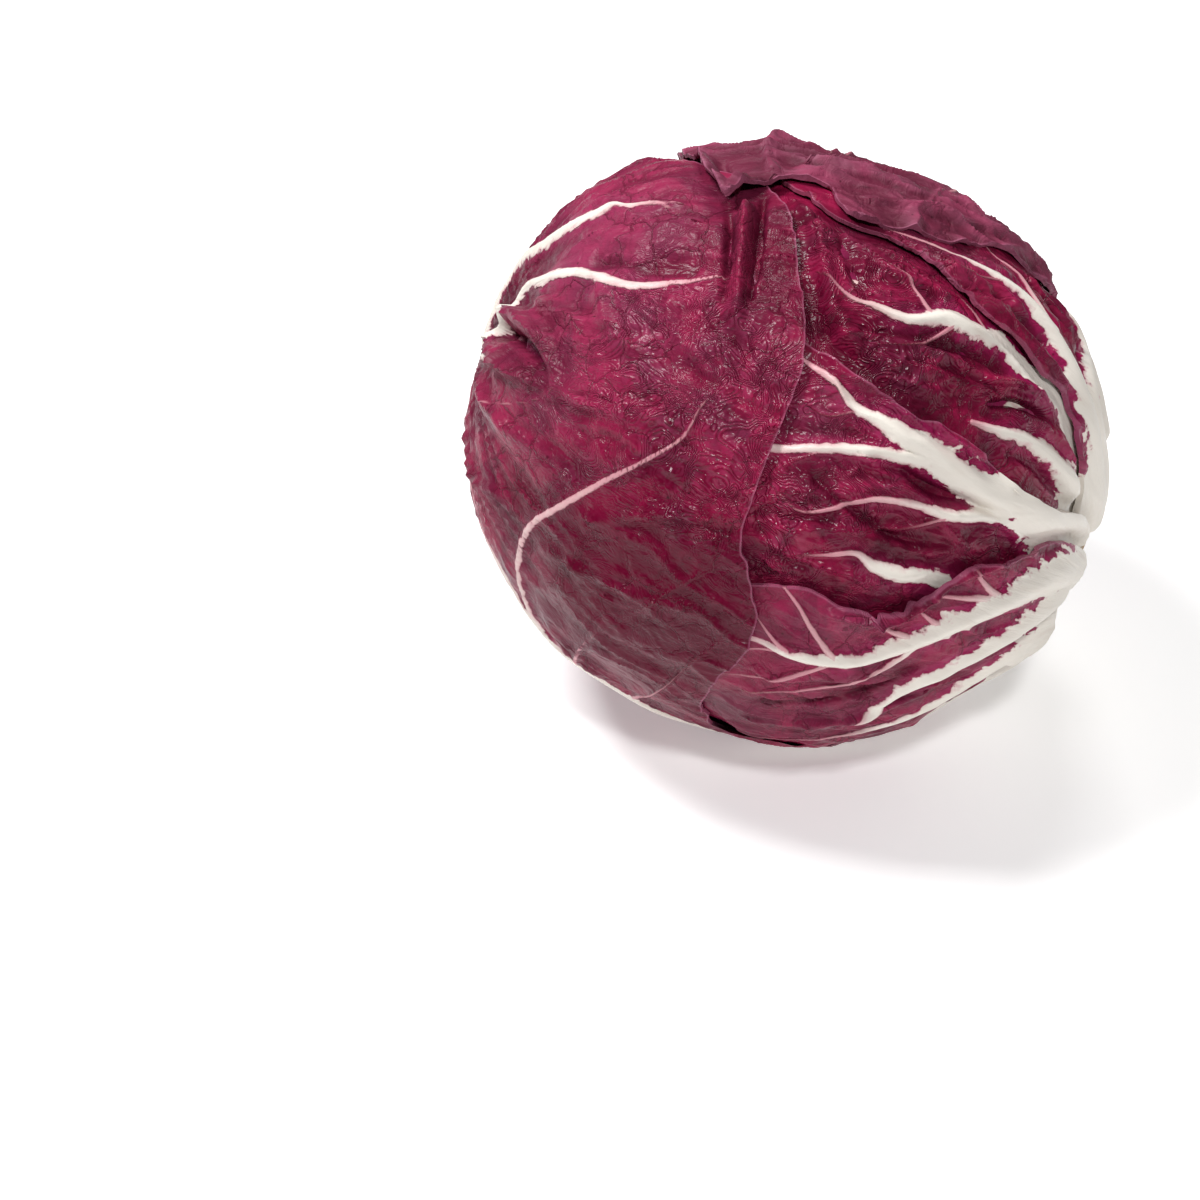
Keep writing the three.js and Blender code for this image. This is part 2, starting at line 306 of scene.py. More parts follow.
class Leaf:
    """A leaf's outline on the head, its own flat map, and how it covers the leaves under it."""

    def __init__(self, outline, pitch, margin, width):
        self.pitch, self.margin, self.width = pitch, margin, width
        corners = place(*np.array(outline, float).T)
        self.edge = smooth_line(corners, 480, closed=True)
        self.edge /= np.linalg.norm(self.edge, axis=1, keepdims=True)
        self.centre = self.edge.mean(0)
        self.centre /= np.linalg.norm(self.centre)
        self.across = np.cross(STEM_AXIS, self.centre)
        self.across /= np.linalg.norm(self.across)
        self.along = np.cross(self.centre, self.across)
        self.flat_edge = self.flatten(self.edge)

    def flatten(self, directions):
        """Directions to flat map positions: angles from the leaf's centre, in radians."""
        angle = np.arccos(np.clip(directions @ self.centre, -1, 1))
        x, y = directions @ self.across, directions @ self.along
        length = np.maximum(np.hypot(x, y), 1e-9)
        return np.column_stack([x, y]) * (angle / length)[:, None]

    def bend(self, flat):
        """The way back, from the flat map to directions."""
        angle = np.maximum(np.linalg.norm(flat, axis=1), 1e-9)
        sine = np.sin(angle) / angle
        return (np.multiply.outer(np.cos(angle), self.centre)
                + np.multiply.outer(sine * flat[:, 0], self.across)
                + np.multiply.outer(sine * flat[:, 1], self.along))

    def holds(self, directions):
        x, y = self.flatten(directions).T
        inside = np.zeros(len(x), bool)
        coarse = self.flat_edge[::4]
        for (x0, y0), (x1, y1) in zip(np.roll(coarse, 1, axis=0), coarse):
            if y0 == y1:
                continue
            inside ^= ((y0 > y) != (y1 > y)) & (x < x0 + (y - y0) * (x1 - x0) / (y1 - y0))
        return inside

    def cover(self, directions):
        """1 under the leaf, falling to 0 a little way past its edge."""
        distance, _ = skin_distance(directions, self.edge[::3])
        distance[self.holds(directions)] = 0
        share = 1 - TUCK_LESS_AT_STEM * stem_share(directions)
        return 1 - smoothstep(0, 1, (distance / share - self.margin) / self.width)


leaves_so_far = []  # from the outermost inwards


def layered_radius(directions):
    """Where a new leaf's outside lies, under every leaf made so far, and how covered it is."""
    radius = head_radius(directions)
    covered = np.zeros(len(directions))
    for above in leaves_so_far:
        cover = above.cover(directions)
        radius *= 1 - (above.pitch + STEM_PITCH * stem_share(directions)) * cover
        covered = np.maximum(covered, cover)
    return radius, covered


# %% [markdown]
# ## Ribs, folds and spots
# Ribs are drawn as lines of (up, round, width in mm). Each one raises a rounded ridge and gives the colour
# its white centre. Folds are lines of (up, round, height in mm), high or sunk, with a half width in mm. A
# pleat has two half widths, left and right of its line, so that one side is steep. Spots are round hollows,
# bumps or patches: (up, round, reach in mm, amount).

# %% Fields over a leaf
def line_field(directions, line):
    """Distance to a line in mm, the line's third number at the nearest point, and 1 left of it, -1 right."""
    line = np.array(line, float)
    curve = smooth_line(np.column_stack([place(line[:, 0], line[:, 1]) * SKIN, line[:, 2]]), 160)
    on_skin = curve[:, :3] / np.linalg.norm(curve[:, :3], axis=1, keepdims=True)
    distance, which = skin_distance(directions, on_skin)
    left = np.cross(on_skin, np.gradient(on_skin, axis=0))
    side = np.sign(np.sum((directions - on_skin[which]) * left[which], axis=1))
    return distance, curve[which, 3], side


def spot_field(directions, spots):
    total = np.zeros(len(directions))
    for up, round_, reach, amount in spots:
        distance, _ = skin_distance(directions, place(np.array([up]), np.array([round_])))
        total += amount * np.exp(-((distance / reach) ** 2))
    return total


def rib_fields(directions, ribs, white_base):
    """Height of the ribs, how deep inside the nearest rib each point lies, and that rib's width, all in mm.
    Outside the ribs the depth is negative. Near the stem, ribs have grown together."""
    height = np.zeros(len(directions))
    inside = np.clip((white_base - up_of(directions)) * math.radians(1) * SKIN, -12, 12)
    widths = np.full(len(directions), 12.0)
    for rib in ribs:
        distance, width, _ = line_field(directions, rib)
        half = np.maximum(width / 2, 0.35)
        tall = np.minimum(0.34 * width + 0.12, 2.2)
        ridge = tall * np.exp(-((distance / (half * 0.85)) ** 2))
        groove = 0.22 * tall * np.exp(-(((distance - 1.9 * half) / (0.8 * half)) ** 2))
        height = np.maximum(height, ridge) - groove * (height < ridge + 0.05)
        widths = np.where(half - distance > inside, width, widths)
        inside = np.maximum(inside, half - distance)
    return height, inside, widths


# %% [markdown]
# ## From a flat grid to a leaf
# The grid is a square. Its corners are rounded off to make a disc, the disc's rim is led along the leaf's
# outline, and the whole is bent over the head. Solidify then gives the sheet its second side and its rim.
# The inner side shows no wrinkles, so its faces are thinned out.

# %% Sheets and their points
UNDERSIDE_KEPT = 0.12  # share of the faces


def even_grid(name, squares):
    deselect()
    bpy.ops.mesh.primitive_grid_add(x_subdivisions=squares, y_subdivisions=squares, size=2)
    sheet = bpy.context.object
    sheet.name = sheet.data.name = name
    flat = np.empty(len(sheet.data.vertices) * 3)
    sheet.data.vertices.foreach_get("co", flat)
    return sheet, flat.reshape(-1, 3)[:, :2]


def apply_modifier(piece, kind, settings):
    modifier = piece.modifiers.new(kind.lower(), kind)
    for key, value in settings.items():
        setattr(modifier, key, value)
    bpy.ops.object.modifier_apply(modifier=modifier.name)


def set_points(piece, points_mm):
    piece.data.vertices.foreach_set("co", (points_mm * MM).astype(np.float32).ravel())
    piece.data.update()


def set_attribute(piece, name, values):
    attribute = piece.data.attributes.new(name, "FLOAT", "POINT")
    attribute.data.foreach_set("value", values.astype(np.float32))


def thin_underside(piece, first, share):
    """Collapses most of the faces whose points all come after the given one."""
    bpy.ops.object.mode_set(mode="EDIT")
    bpy.ops.mesh.select_all(action="DESELECT")
    bpy.ops.object.mode_set(mode="OBJECT")
    mesh = piece.data
    corners = np.empty(len(mesh.loops), int)
    mesh.loops.foreach_get("vertex_index", corners)
    starts = np.empty(len(mesh.polygons), int)
    mesh.polygons.foreach_get("loop_start", starts)
    under = np.minimum.reduceat(corners, starts) >= first
    mesh.polygons.foreach_set("select", under)
    bpy.ops.object.mode_set(mode="EDIT")
    bpy.ops.mesh.select_mode(type="FACE")
    bpy.ops.mesh.decimate(ratio=share)
    bpy.ops.object.mode_set(mode="OBJECT")


# %% From square to leaf
RIM_REACH = 0.999  # grid points this far out, as a share, are on the rim
TORN_FROM, TORN_FULL = 15, 40  # degrees from the stem: margins are clean at the stem and ragged further out
EDGE_REACH = 5  # mm: how far in a leaf's margin is felt
FREE_FROM = 0.35  # a leaf covered less than this keeps its whole relief
RELIEF_KEPT = 0.1  # and this much is left of it where another leaf lies on top
LEAST_THICKNESS = 0.25  # mm


def lead_to_outline(leaf, square, ragged, seed):
    """Leads the grid's square to the leaf's outline. Gives each point's direction, and those on the rim."""
    x, y = square.T
    disc = np.column_stack([x * np.sqrt(1 - y * y / 2), y * np.sqrt(1 - x * x / 2)])
    reach = np.minimum(np.linalg.norm(disc, axis=1), 1)
    turn = (np.arctan2(disc[:, 1], disc[:, 0]) / (2 * math.pi)) % 1
    laps = np.linspace(0, 1, len(leaf.flat_edge) + 1)
    closed = np.vstack([leaf.flat_edge, leaf.flat_edge[:1]])
    rim = np.column_stack([np.interp(turn, laps, column) for column in closed.T])
    rim_skin = leaf.bend(rim) * SKIN
    torn_by = ragged * (noise(rim_skin, 9, seed + 40) + 0.6 * noise(rim_skin, 3, seed + 41)) / SKIN
    torn_by *= smoothstep(TORN_FROM, TORN_FULL, up_of(leaf.bend(rim)))
    rim *= 1 + (torn_by / np.linalg.norm(rim, axis=1))[:, None]
    return leaf.bend(rim * reach[:, None]), leaf.bend(rim[reach > RIM_REACH])


def body_height(skin, at_edge, folds, lifts, dents, inner, seed):
    """Folds, lifted margins and dents: what both sides of the sheet follow."""
    body = np.zeros(len(skin))
    for half_width, line in folds:
        distance, height, side = line_field(skin, line)
        left, right = np.broadcast_to(half_width, 2)
        body += height * np.exp(-((distance / np.where(side > 0, left, right)) ** 2))
    body += at_edge * spot_field(skin, lifts) + spot_field(skin, dents)
    body += 0.5 * at_edge * noise(skin * SKIN, 11, seed + 1)
    if inner:
        body += 1.1 * noise(skin * SKIN, 14, seed + 2) * smoothstep(35, 90, up_of(skin))
    return body


def fine_height(skin, grain, blade, wrinkled, crinkled, seed):
    """Wrinkles along the leaf and crinkles in cells on the blade, and faint strands on the ribs."""
    points = skin * SKIN
    streaks = ridges(grain + 3 * noise(points, 16, seed + 3)[:, None], (5, 30, 9), seed + 4)
    fine_streaks = ridges(grain + 1.5 * noise(points, 7, seed + 8)[:, None], (2.4, 14, 9), seed + 9)
    dimples = noise(points, 7, seed + 5)
    cells = ridges(points + 1.2 * noise(points, 3, seed + 10)[:, None], 4.6, seed + 6)
    fine = blade * (wrinkled * (1.5 * streaks**2 + 0.35 * fine_streaks**2 + 0.3 * dimples - 0.7)
                    + crinkled * (0.45 * cells**2 - 0.15))
    return fine + (1 - blade) * 0.18 * noise(grain, (2.2, 22, 9), seed + 7)


# %% A whole leaf
def grow_leaf(name, outline, squares, ribs=(), folds=(), lifts=(), dents=(), patches=None, white_base=30,
              wrinkle=0.5, crinkle=0.4, bloom=0.3, ragged=0.5, inner=False, seed=1):
    leaf = Leaf(outline, **(INNER_TUCK if inner else OUTER_TUCK))
    sheet, square = even_grid(name, squares)
    skin, rim = lead_to_outline(leaf, square, ragged, seed)

    # layers, then relief, which stays low where another leaf lies on top
    radius, covered = layered_radius(skin)
    free = 1 - (1 - RELIEF_KEPT) * smoothstep(FREE_FROM, 1, covered)
    from_edge, _ = skin_distance(skin, rim)
    at_edge = np.exp(-((from_edge / EDGE_REACH) ** 2))
    grain = np.column_stack([np.radians(round_of(skin)) * 40, up_of(skin) * math.radians(1) * SKIN,
                             np.zeros(len(skin))])
    spots = {key: np.clip(spot_field(skin, value), -1, 1) for key, value in (patches or {}).items()}
    crinkled = np.clip(crinkle + spots.get("crinkle", 0), 0, 1)
    wrinkled = np.clip(wrinkle + spots.get("wrinkle", 0), 0, 1.5)
    rib_height, rib_inside, rib_width = rib_fields(skin, ribs, white_base)
    blade = smoothstep(1.5, -1.5, rib_inside)
    body = body_height(skin, at_edge, folds, lifts, dents, inner, seed)
    fine = fine_height(skin, grain, blade, wrinkled, crinkled, seed)

    # the sheet's two sides, both above the floor
    outside = radius + free * (body + rib_height + fine)
    floor_radius = CENTRE_HEIGHT / np.maximum(-skin[:, 2], 1e-6)
    outside = np.where(skin[:, 2] < 0, np.minimum(outside, floor_radius), outside)
    thickness = (BLADE_THICKNESS + RIB_THICKNESS * stem_share(skin)) * (1 - 0.35 * at_edge)
    inside = np.minimum(radius + free * body, outside - LEAST_THICKNESS) - thickness
    count = len(skin)
    set_points(sheet, HEAD_CENTRE + skin * outside[:, None])
    apply_modifier(sheet, "SOLIDIFY", {"thickness": MM, "offset": -1})
    both = np.vstack([HEAD_CENTRE + skin * outside[:, None], HEAD_CENTRE + skin * inside[:, None]])
    both[:, 2] = np.maximum(both[:, 2], 0)
    set_points(sheet, both)

    # what the leaf material reads
    for key, values in {
        "rib_inside": np.clip(rib_inside, -12, 12),
        "rib_width": rib_width,
        "from_edge": np.minimum(from_edge, 20),
        "crinkle": crinkled,
        "bloom": np.clip(bloom + spots.get("bloom", 0), 0, 1),
        # deep patches: a deeper red in places, and painted shade in grooves and under rolled margins
        "deep": np.clip(spots.get("deep", 0), 0, 1),
        # painted shade: how far the blade dips into its folds and wrinkles, which the material paints darker
        "shade_in_hollows": np.clip(-blade * (fine + np.minimum(body, 0)) / 1.2, 0, 0.6),
        "fibre_across": grain[:, 0] * MM,
        "fibre_along": grain[:, 1] * MM,
    }.items():
        set_attribute(sheet, key, np.tile(np.broadcast_to(values, count), 2))
    thin_underside(sheet, count, UNDERSIDE_KEPT)
    deselect()
    sheet.select_set(True)
    bpy.context.view_layer.objects.active = sheet
    bpy.ops.object.shade_smooth_by_angle(angle=math.radians(55))
    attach(sheet, "root")
    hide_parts(name)
    leaves_so_far.append(leaf)
    triangles = sum(len(p.vertices) - 2 for p in sheet.data.polygons)
    print(name, triangles, "triangles,", "mm:", [round(v * 1000) for v in sheet.dimensions])
    return sheet


# %% [markdown]
# ## Leaf skin
# The skin of a red chicory leaf is smooth and waxy. Its red is in the thin outer layer, so it breaks up
# into teeth along the white ribs, where the skin is stretched. Between the ribs runs a net of fine dark
# veins, and where the leaf was squeezed its skin is crinkled, which gives many small glints. Patterns here
# use the real sizes: net cells of 7.5 mm, creases about 1 mm apart, teeth of 1 to 3 mm.

# %% What the leaf material reads
NOISE, MAP, MATH, MIX = "ShaderNodeTexNoise", "ShaderNodeMapRange", "ShaderNodeMath", "ShaderNodeMix"
SMOOTH, COLOUR = {"interpolation_type": "SMOOTHSTEP"}, {"data_type": "RGBA", "output": 2}
# a Map Range node takes 0 the value, 1 and 2 its range, 3 and 4 the new range; a Mix node takes 0 the share,
# 6 the colour under and 7 the colour over
FIELDS = ("rib_inside", "rib_width", "from_edge", "crinkle", "bloom", "deep", "shade_in_hollows", "fibre_across",
          "fibre_along")
NET_CELL, SMALL_NET_CELL = 7.5, 2.6  # mm
CREASE_TURNS = 78.0  # how often the skin folds over one step of the noise that winds the creases
CREASE_HEIGHT, VEIN_HEIGHT, PUFF_HEIGHT = 0.17, 0.3, 0.22  # mm


def per_mm(size_mm):
    """Pattern scale for cells of a size in mm."""
    return 1 / (size_mm * MM)


def read_leaf(add):
    """The leaf's own fields, the place of each point, and the direction its fibres run in."""
    leaf = {key: add("ShaderNodeAttribute", output="Fac", attribute_name=key) for key in FIELDS}
    leaf["where"] = add("ShaderNodeTexCoord", output="Object")
    leaf["fibre"] = add("ShaderNodeCombineXYZ", {"X": leaf["fibre_across"], "Y": leaf["fibre_along"]})
    leaf["long_fibre"] = add("ShaderNodeMapping", {"Vector": leaf["fibre"], "Scale": (1, 0.16, 1)})
    return leaf


# %% Ribs: where the red ends, and their own colour
def tear_red_at_ribs(add, leaf):
    """Ends the red in teeth along wide ribs and cleanly along thin ones. Gives the depth in a rib, and the
    share of rib colour."""
    teeth = add(NOISE, {"Vector": leaf["where"], "Scale": per_mm(2.4), "Detail": 3, "Roughness": 0.55,
                        "Distortion": 0.4})
    strands = add(NOISE, {"Vector": leaf["long_fibre"], "Scale": per_mm(1.5), "Detail": 2})
    fringe = add(MATH, {0: teeth, 1: strands}, operation="ADD")
    fringe = add(MATH, {0: fringe, 1: 1.0}, operation="SUBTRACT")
    fringe_size = add(MAP, {0: leaf["rib_width"], 1: 1.4, 2: 9.0, 3: 0.1, 4: 6.5})
    torn_rib = add(MATH, {0: fringe, 1: fringe_size, 2: leaf["rib_inside"]}, operation="MULTIPLY_ADD")
    slim = add(MAP, {0: leaf["rib_width"], 1: 1.0, 2: 6.0, 3: 0.32, 4: 0.0})  # pale only along their crest
    torn_rib = add(MATH, {0: torn_rib, 1: slim}, operation="SUBTRACT")
    return torn_rib, add(MAP, {0: torn_rib, 1: -0.12, 2: 0.16}, **SMOOTH)


def rib_paint(add, leaf, torn_rib, white):
    """Dark red where hair-thin, pink where thin, cream with faint stains where wide."""
    pinker = add(MAP, {0: leaf["rib_width"], 1: 0.9, 2: 1.4}, **SMOOTH)
    whiter = add(MAP, {0: leaf["rib_width"], 1: 1.2, 2: 2.8}, **SMOOTH)
    deep_in_rib = add(MAP, {0: torn_rib, 1: 0.0, 2: 0.7, 3: 0.45}, **SMOOTH)
    whiter = add(MATH, {0: whiter, 1: deep_in_rib}, operation="MULTIPLY")
    paint = add(MIX, {0: pinker, 6: "#620722", 7: "#c78390"}, **COLOUR)
    paint = add(MIX, {0: whiter, 6: paint, 7: white}, **COLOUR)
    stain = add(NOISE, {"Vector": leaf["long_fibre"], "Scale": per_mm(2.5), "Detail": 2})
    stain = add(MAP, {0: stain, 1: 0.52, 2: 0.8, 4: 0.35}, **SMOOTH)
    return add(MIX, {0: stain, 6: paint, 7: "#cdbcae"}, **COLOUR)


# %% Blade: its reds
def blade_paint(add, leaf, torn_rib, deep, red, mauve, streaky):
    """Patches of red, a bright flush beside wide ribs, streaks, waxy bloom, and deep patches that are a
    deeper red in places and painted shade in grooves and under rolled margins.
    """
    patch = add(NOISE, {"Vector": leaf["where"], "Scale": per_mm(14), "Detail": 4, "Roughness": 0.6,
                        "Distortion": 0.6})
    patchy = add(MAP, {0: patch, 1: 0.38, 2: 0.62}, **SMOOTH)
    blade = add(MIX, {0: patchy, 6: deep, 7: red}, **COLOUR)
    flush = add(MAP, {0: torn_rib, 1: -4.0, 2: 0.0}, **SMOOTH)
    flush_size = add(MAP, {0: leaf["rib_width"], 1: 1.5, 2: 5.0, 4: 0.8})
    flush = add(MATH, {0: flush, 1: flush_size}, operation="MULTIPLY")
    blade = add(MIX, {0: flush, 6: blade, 7: "#9c1252"}, **COLOUR)
    streak = add(NOISE, {"Vector": leaf["long_fibre"], "Scale": per_mm(1.1), "Detail": 3, "Roughness": 0.6})
    streak = add(MAP, {0: streak, 1: 0.45, 2: 0.8, 4: 0.12 + 0.5 * streaky}, **SMOOTH)
    blade = add(MIX, {0: streak, 6: blade, 7: mauve}, **COLOUR)
    bloom_share = add(MATH, {0: leaf["bloom"], 1: 0.7}, operation="MULTIPLY")
    blade = add(MIX, {0: bloom_share, 6: blade, 7: mauve}, **COLOUR)
    # painted shade: the deep patches darken the blade in grooves and under rolled margins; elsewhere they are
    # a deeper red
    deep_red_and_shade_share = add(MATH, {0: leaf["deep"], 1: 0.9}, operation="MULTIPLY")
    return add(MIX, {0: deep_red_and_shade_share, 6: blade, 7: deep}, **COLOUR)


def crease_skin(add, leaf, blade, off_rib):
    """Folds squeezed skin into winding creases about 1 mm apart, with a painted highlight on their crests and
    painted shade in their furrows and in the leaf's hollows. Gives the blade's colour with them, and how high
    they stand."""
    drawn_out = add("ShaderNodeMapping", {"Vector": leaf["fibre"], "Scale": (1, 0.55, 1)})
    winding = add(NOISE, {"Vector": drawn_out, "Scale": per_mm(7), "Detail": 1.8, "Distortion": 1.3})
    winding = add(MATH, {0: winding, 1: CREASE_TURNS}, operation="MULTIPLY")
    winding = add(MATH, {0: winding}, operation="SINE")
    winding = add(MATH, {0: winding}, operation="ABSOLUTE")
    squeezed = add(NOISE, {"Vector": leaf["where"], "Scale": per_mm(9), "Detail": 2})
    squeezed = add(MAP, {0: squeezed, 1: 0.38, 2: 0.6, 3: 0.3, 4: 1.0}, **SMOOTH)
    squeezed = add(MATH, {0: squeezed, 1: leaf["crinkle"]}, operation="MULTIPLY")
    squeezed = add(MATH, {0: squeezed, 1: off_rib}, operation="MULTIPLY")
    # painted highlight: the crests of the creases are painted paler
    crest = add(MAP, {0: winding, 1: 0.35, 2: 1.0, 4: 0.16}, **SMOOTH)
    crest = add(MATH, {0: crest, 1: squeezed}, operation="MULTIPLY")
    blade = add(MIX, {0: crest, 6: blade, 7: "#b0567c"}, **COLOUR)
    # painted shade: the furrows, and the hollows of the leaf's folds and wrinkles, are painted darker
    furrow = add(MAP, {0: winding, 1: 0.0, 2: 0.45, 3: 0.28, 4: 0.0}, **SMOOTH)
    furrow = add(MATH, {0: furrow, 1: squeezed}, operation="MULTIPLY")
    furrow = add(MATH, {0: furrow, 1: leaf["shade_in_hollows"]}, operation="MAXIMUM")
    blade = add(MIX, {0: furrow, 6: blade, 7: "#440118"}, **COLOUR)
    height = add(MATH, {0: winding, 1: squeezed}, operation="MULTIPLY")
    return blade, add(MATH, {0: height, 1: CREASE_HEIGHT}, operation="MULTIPLY")


def draw_vein_net(add, leaf, blade, net):
    """Draws a crooked net of fine dark veins in two sizes. Gives the colour, the cells and the veins."""
    warp = add(NOISE, {"Vector": leaf["where"], "Scale": per_mm(5), "Detail": 3}, output="Color")
    crooked = add("ShaderNodeVectorMath", {0: warp, 1: (6 * MM, 6 * MM, 6 * MM), 2: leaf["where"]},
                  operation="MULTIPLY_ADD")
    cells, small_cells = (
        add("ShaderNodeTexVoronoi", {"Vector": crooked, "Scale": per_mm(size)}, feature="DISTANCE_TO_EDGE")
        for size in (NET_CELL, SMALL_NET_CELL))
    net_patch = add(NOISE, {"Vector": leaf["where"], "Scale": per_mm(19), "Detail": 1})
    net_patch = add(MAP, {0: net_patch, 1: 0.4, 2: 0.6, 3: 0.25 * net, 4: net}, **SMOOTH)
    vein = add(MAP, {0: cells, 1: 0.012, 2: 0.04, 3: 1.0, 4: 0.0}, **SMOOTH)
    vein = add(MATH, {0: vein, 1: net_patch}, operation="MULTIPLY")
    small_vein = add(MAP, {0: small_cells, 1: 0.01, 2: 0.07, 3: 0.45, 4: 0.0}, **SMOOTH)
    small_vein = add(MATH, {0: small_vein, 1: net_patch}, operation="MULTIPLY")
    any_vein = add(MATH, {0: vein, 1: small_vein}, operation="MAXIMUM")
    return add(MIX, {0: any_vein, 6: blade, 7: "#460418"}, **COLOUR), cells, vein


# %% Leaf skins
def leaf_skin(name, deep, red, mauve, white, gloss, streaky=0.0, net=0.5):
    skin = new_material(name)
    add = partial(add_node, skin)
    leaf = read_leaf(add)
    torn_rib, on_rib = tear_red_at_ribs(add, leaf)
    off_rib = add(MATH, {0: 1.0, 1: on_rib}, operation="SUBTRACT")
    blade = blade_paint(add, leaf, torn_rib, deep, red, mauve, streaky)
    blade, crease_height = crease_skin(add, leaf, blade, off_rib)
    blade, cells, vein = draw_vein_net(add, leaf, blade, net)

    # dark specks of wear, and a painted highlight along the leaf's margin
    speck = add("ShaderNodeTexVoronoi", {"Vector": leaf["where"], "Scale": per_mm(3.4)}, output="Distance")
    speck = add(MAP, {0: speck, 1: 0.06, 2: 0.11, 3: 0.6, 4: 0.0}, **SMOOTH)
    blade = add(MIX, {0: speck, 6: blade, 7: "#360312"}, **COLOUR)
    # painted highlight: a pale line along the margin, where the rolled edge catches the light
    rim = add(MAP, {0: leaf["from_edge"], 1: 0.15, 2: 0.5, 3: 0.5, 4: 0.0}, **SMOOTH)
    blade = add(MIX, {0: rim, 6: blade, 7: "#a8607c"}, **COLOUR)
    colour = add(MIX, {0: on_rib, 6: blade, 7: rib_paint(add, leaf, torn_rib, white)}, **COLOUR)

    # gloss: wetter where crinkled, duller under bloom
    rough = add(MATH, {0: leaf["bloom"], 1: 0.22, 2: gloss}, operation="MULTIPLY_ADD")
    rough = add(MATH, {0: leaf["crinkle"], 1: -0.1, 2: rough}, operation="MULTIPLY_ADD")
    rough = add(MATH, {0: on_rib, 1: 0.08, 2: rough}, operation="MULTIPLY_ADD")

    # fine relief in mm: creases, puffed cells between raised veins, and long grooves
    puff = add(MAP, {0: cells, 1: 0.0, 2: 0.2, 4: PUFF_HEIGHT}, **SMOOTH)
    relief = add(MATH, {0: puff, 1: off_rib, 2: crease_height}, operation="MULTIPLY_ADD")
    raised_vein = add(MATH, {0: vein, 1: off_rib}, operation="MULTIPLY")
    relief = add(MATH, {0: raised_vein, 1: VEIN_HEIGHT, 2: relief}, operation="MULTIPLY_ADD")
    groove = add(NOISE, {"Vector": leaf["long_fibre"], "Scale": per_mm(1.2), "Detail": 3, "Roughness": 0.6})
    relief = add(MATH, {0: groove, 1: 0.3 + 0.4 * streaky, 2: relief}, operation="MULTIPLY_ADD")
    bump = add("ShaderNodeBump", {"Height": relief, "Strength": 1.0, "Distance": MM})
    wax = add("ShaderNodeBsdfPrincipled", {
        "Base Color": colour, "Roughness": rough, "Normal": bump, "IOR": 1.42, "Specular IOR Level": 0.24})
    return finish_material(skin, wax)


fresh_skin = leaf_skin("fresh chicory leaf skin, waxy", "#560120", "#8c0a38", "#a04266", "#e9e2d8", 0.3)
dull_skin = leaf_skin("wilting chicory leaf skin, dull", "#560b24", "#8a2246", "#a05a74", "#dacdbb", 0.42,
                      0.7, 0.3)
inner_skin = leaf_skin("inner chicory leaf skin, tender", "#6a0630", "#8a1048", "#9c4a72", "#e8e0d2", 0.36)
print("leaf materials", fresh_skin.name, "/", dull_skin.name)

# %% [markdown]
# ## Outer leaves
# The outer leaves come first, from the outermost inwards, because each one lies under those before it. The
# cap leaf has started to wilt: it is dull, its margin stands off the head, and its end is curled up.

# %% Cap leaf
def dress_leaf(sheet, skin):
    sheet.data.materials.append(skin)


def feather(round_, top, width, spread=34, pairs=5, seed=0, base=15):
    """A middle rib with side ribs leaving it in turn, for leaves whose ribs are mostly hidden."""
    rng = np.random.default_rng(seed)
    sway = rng.uniform(-5, 5)
    ribs = [[(base, round_, width), (45, round_ + sway / 2, width * 0.7), (80, round_ + sway, width * 0.4),
             (top - 8, round_ + sway / 2, 1.0)]]
    for pair in range(pairs):
        for side in (-1, 1):
            up = 30 + pair * (top - 52) / pairs + rng.uniform(-3, 3)
            thick = width * (0.5 - 0.3 * pair / pairs)
            ribs.append([(up, round_ + sway / 2, thick), (up + 9, round_ + side * spread * 0.3, thick * 0.7),
                         (up + 20, round_ + side * spread * 0.65, thick * 0.45),
                         (up + 30, round_ + side * spread * 0.85, 0.7)])
    return ribs


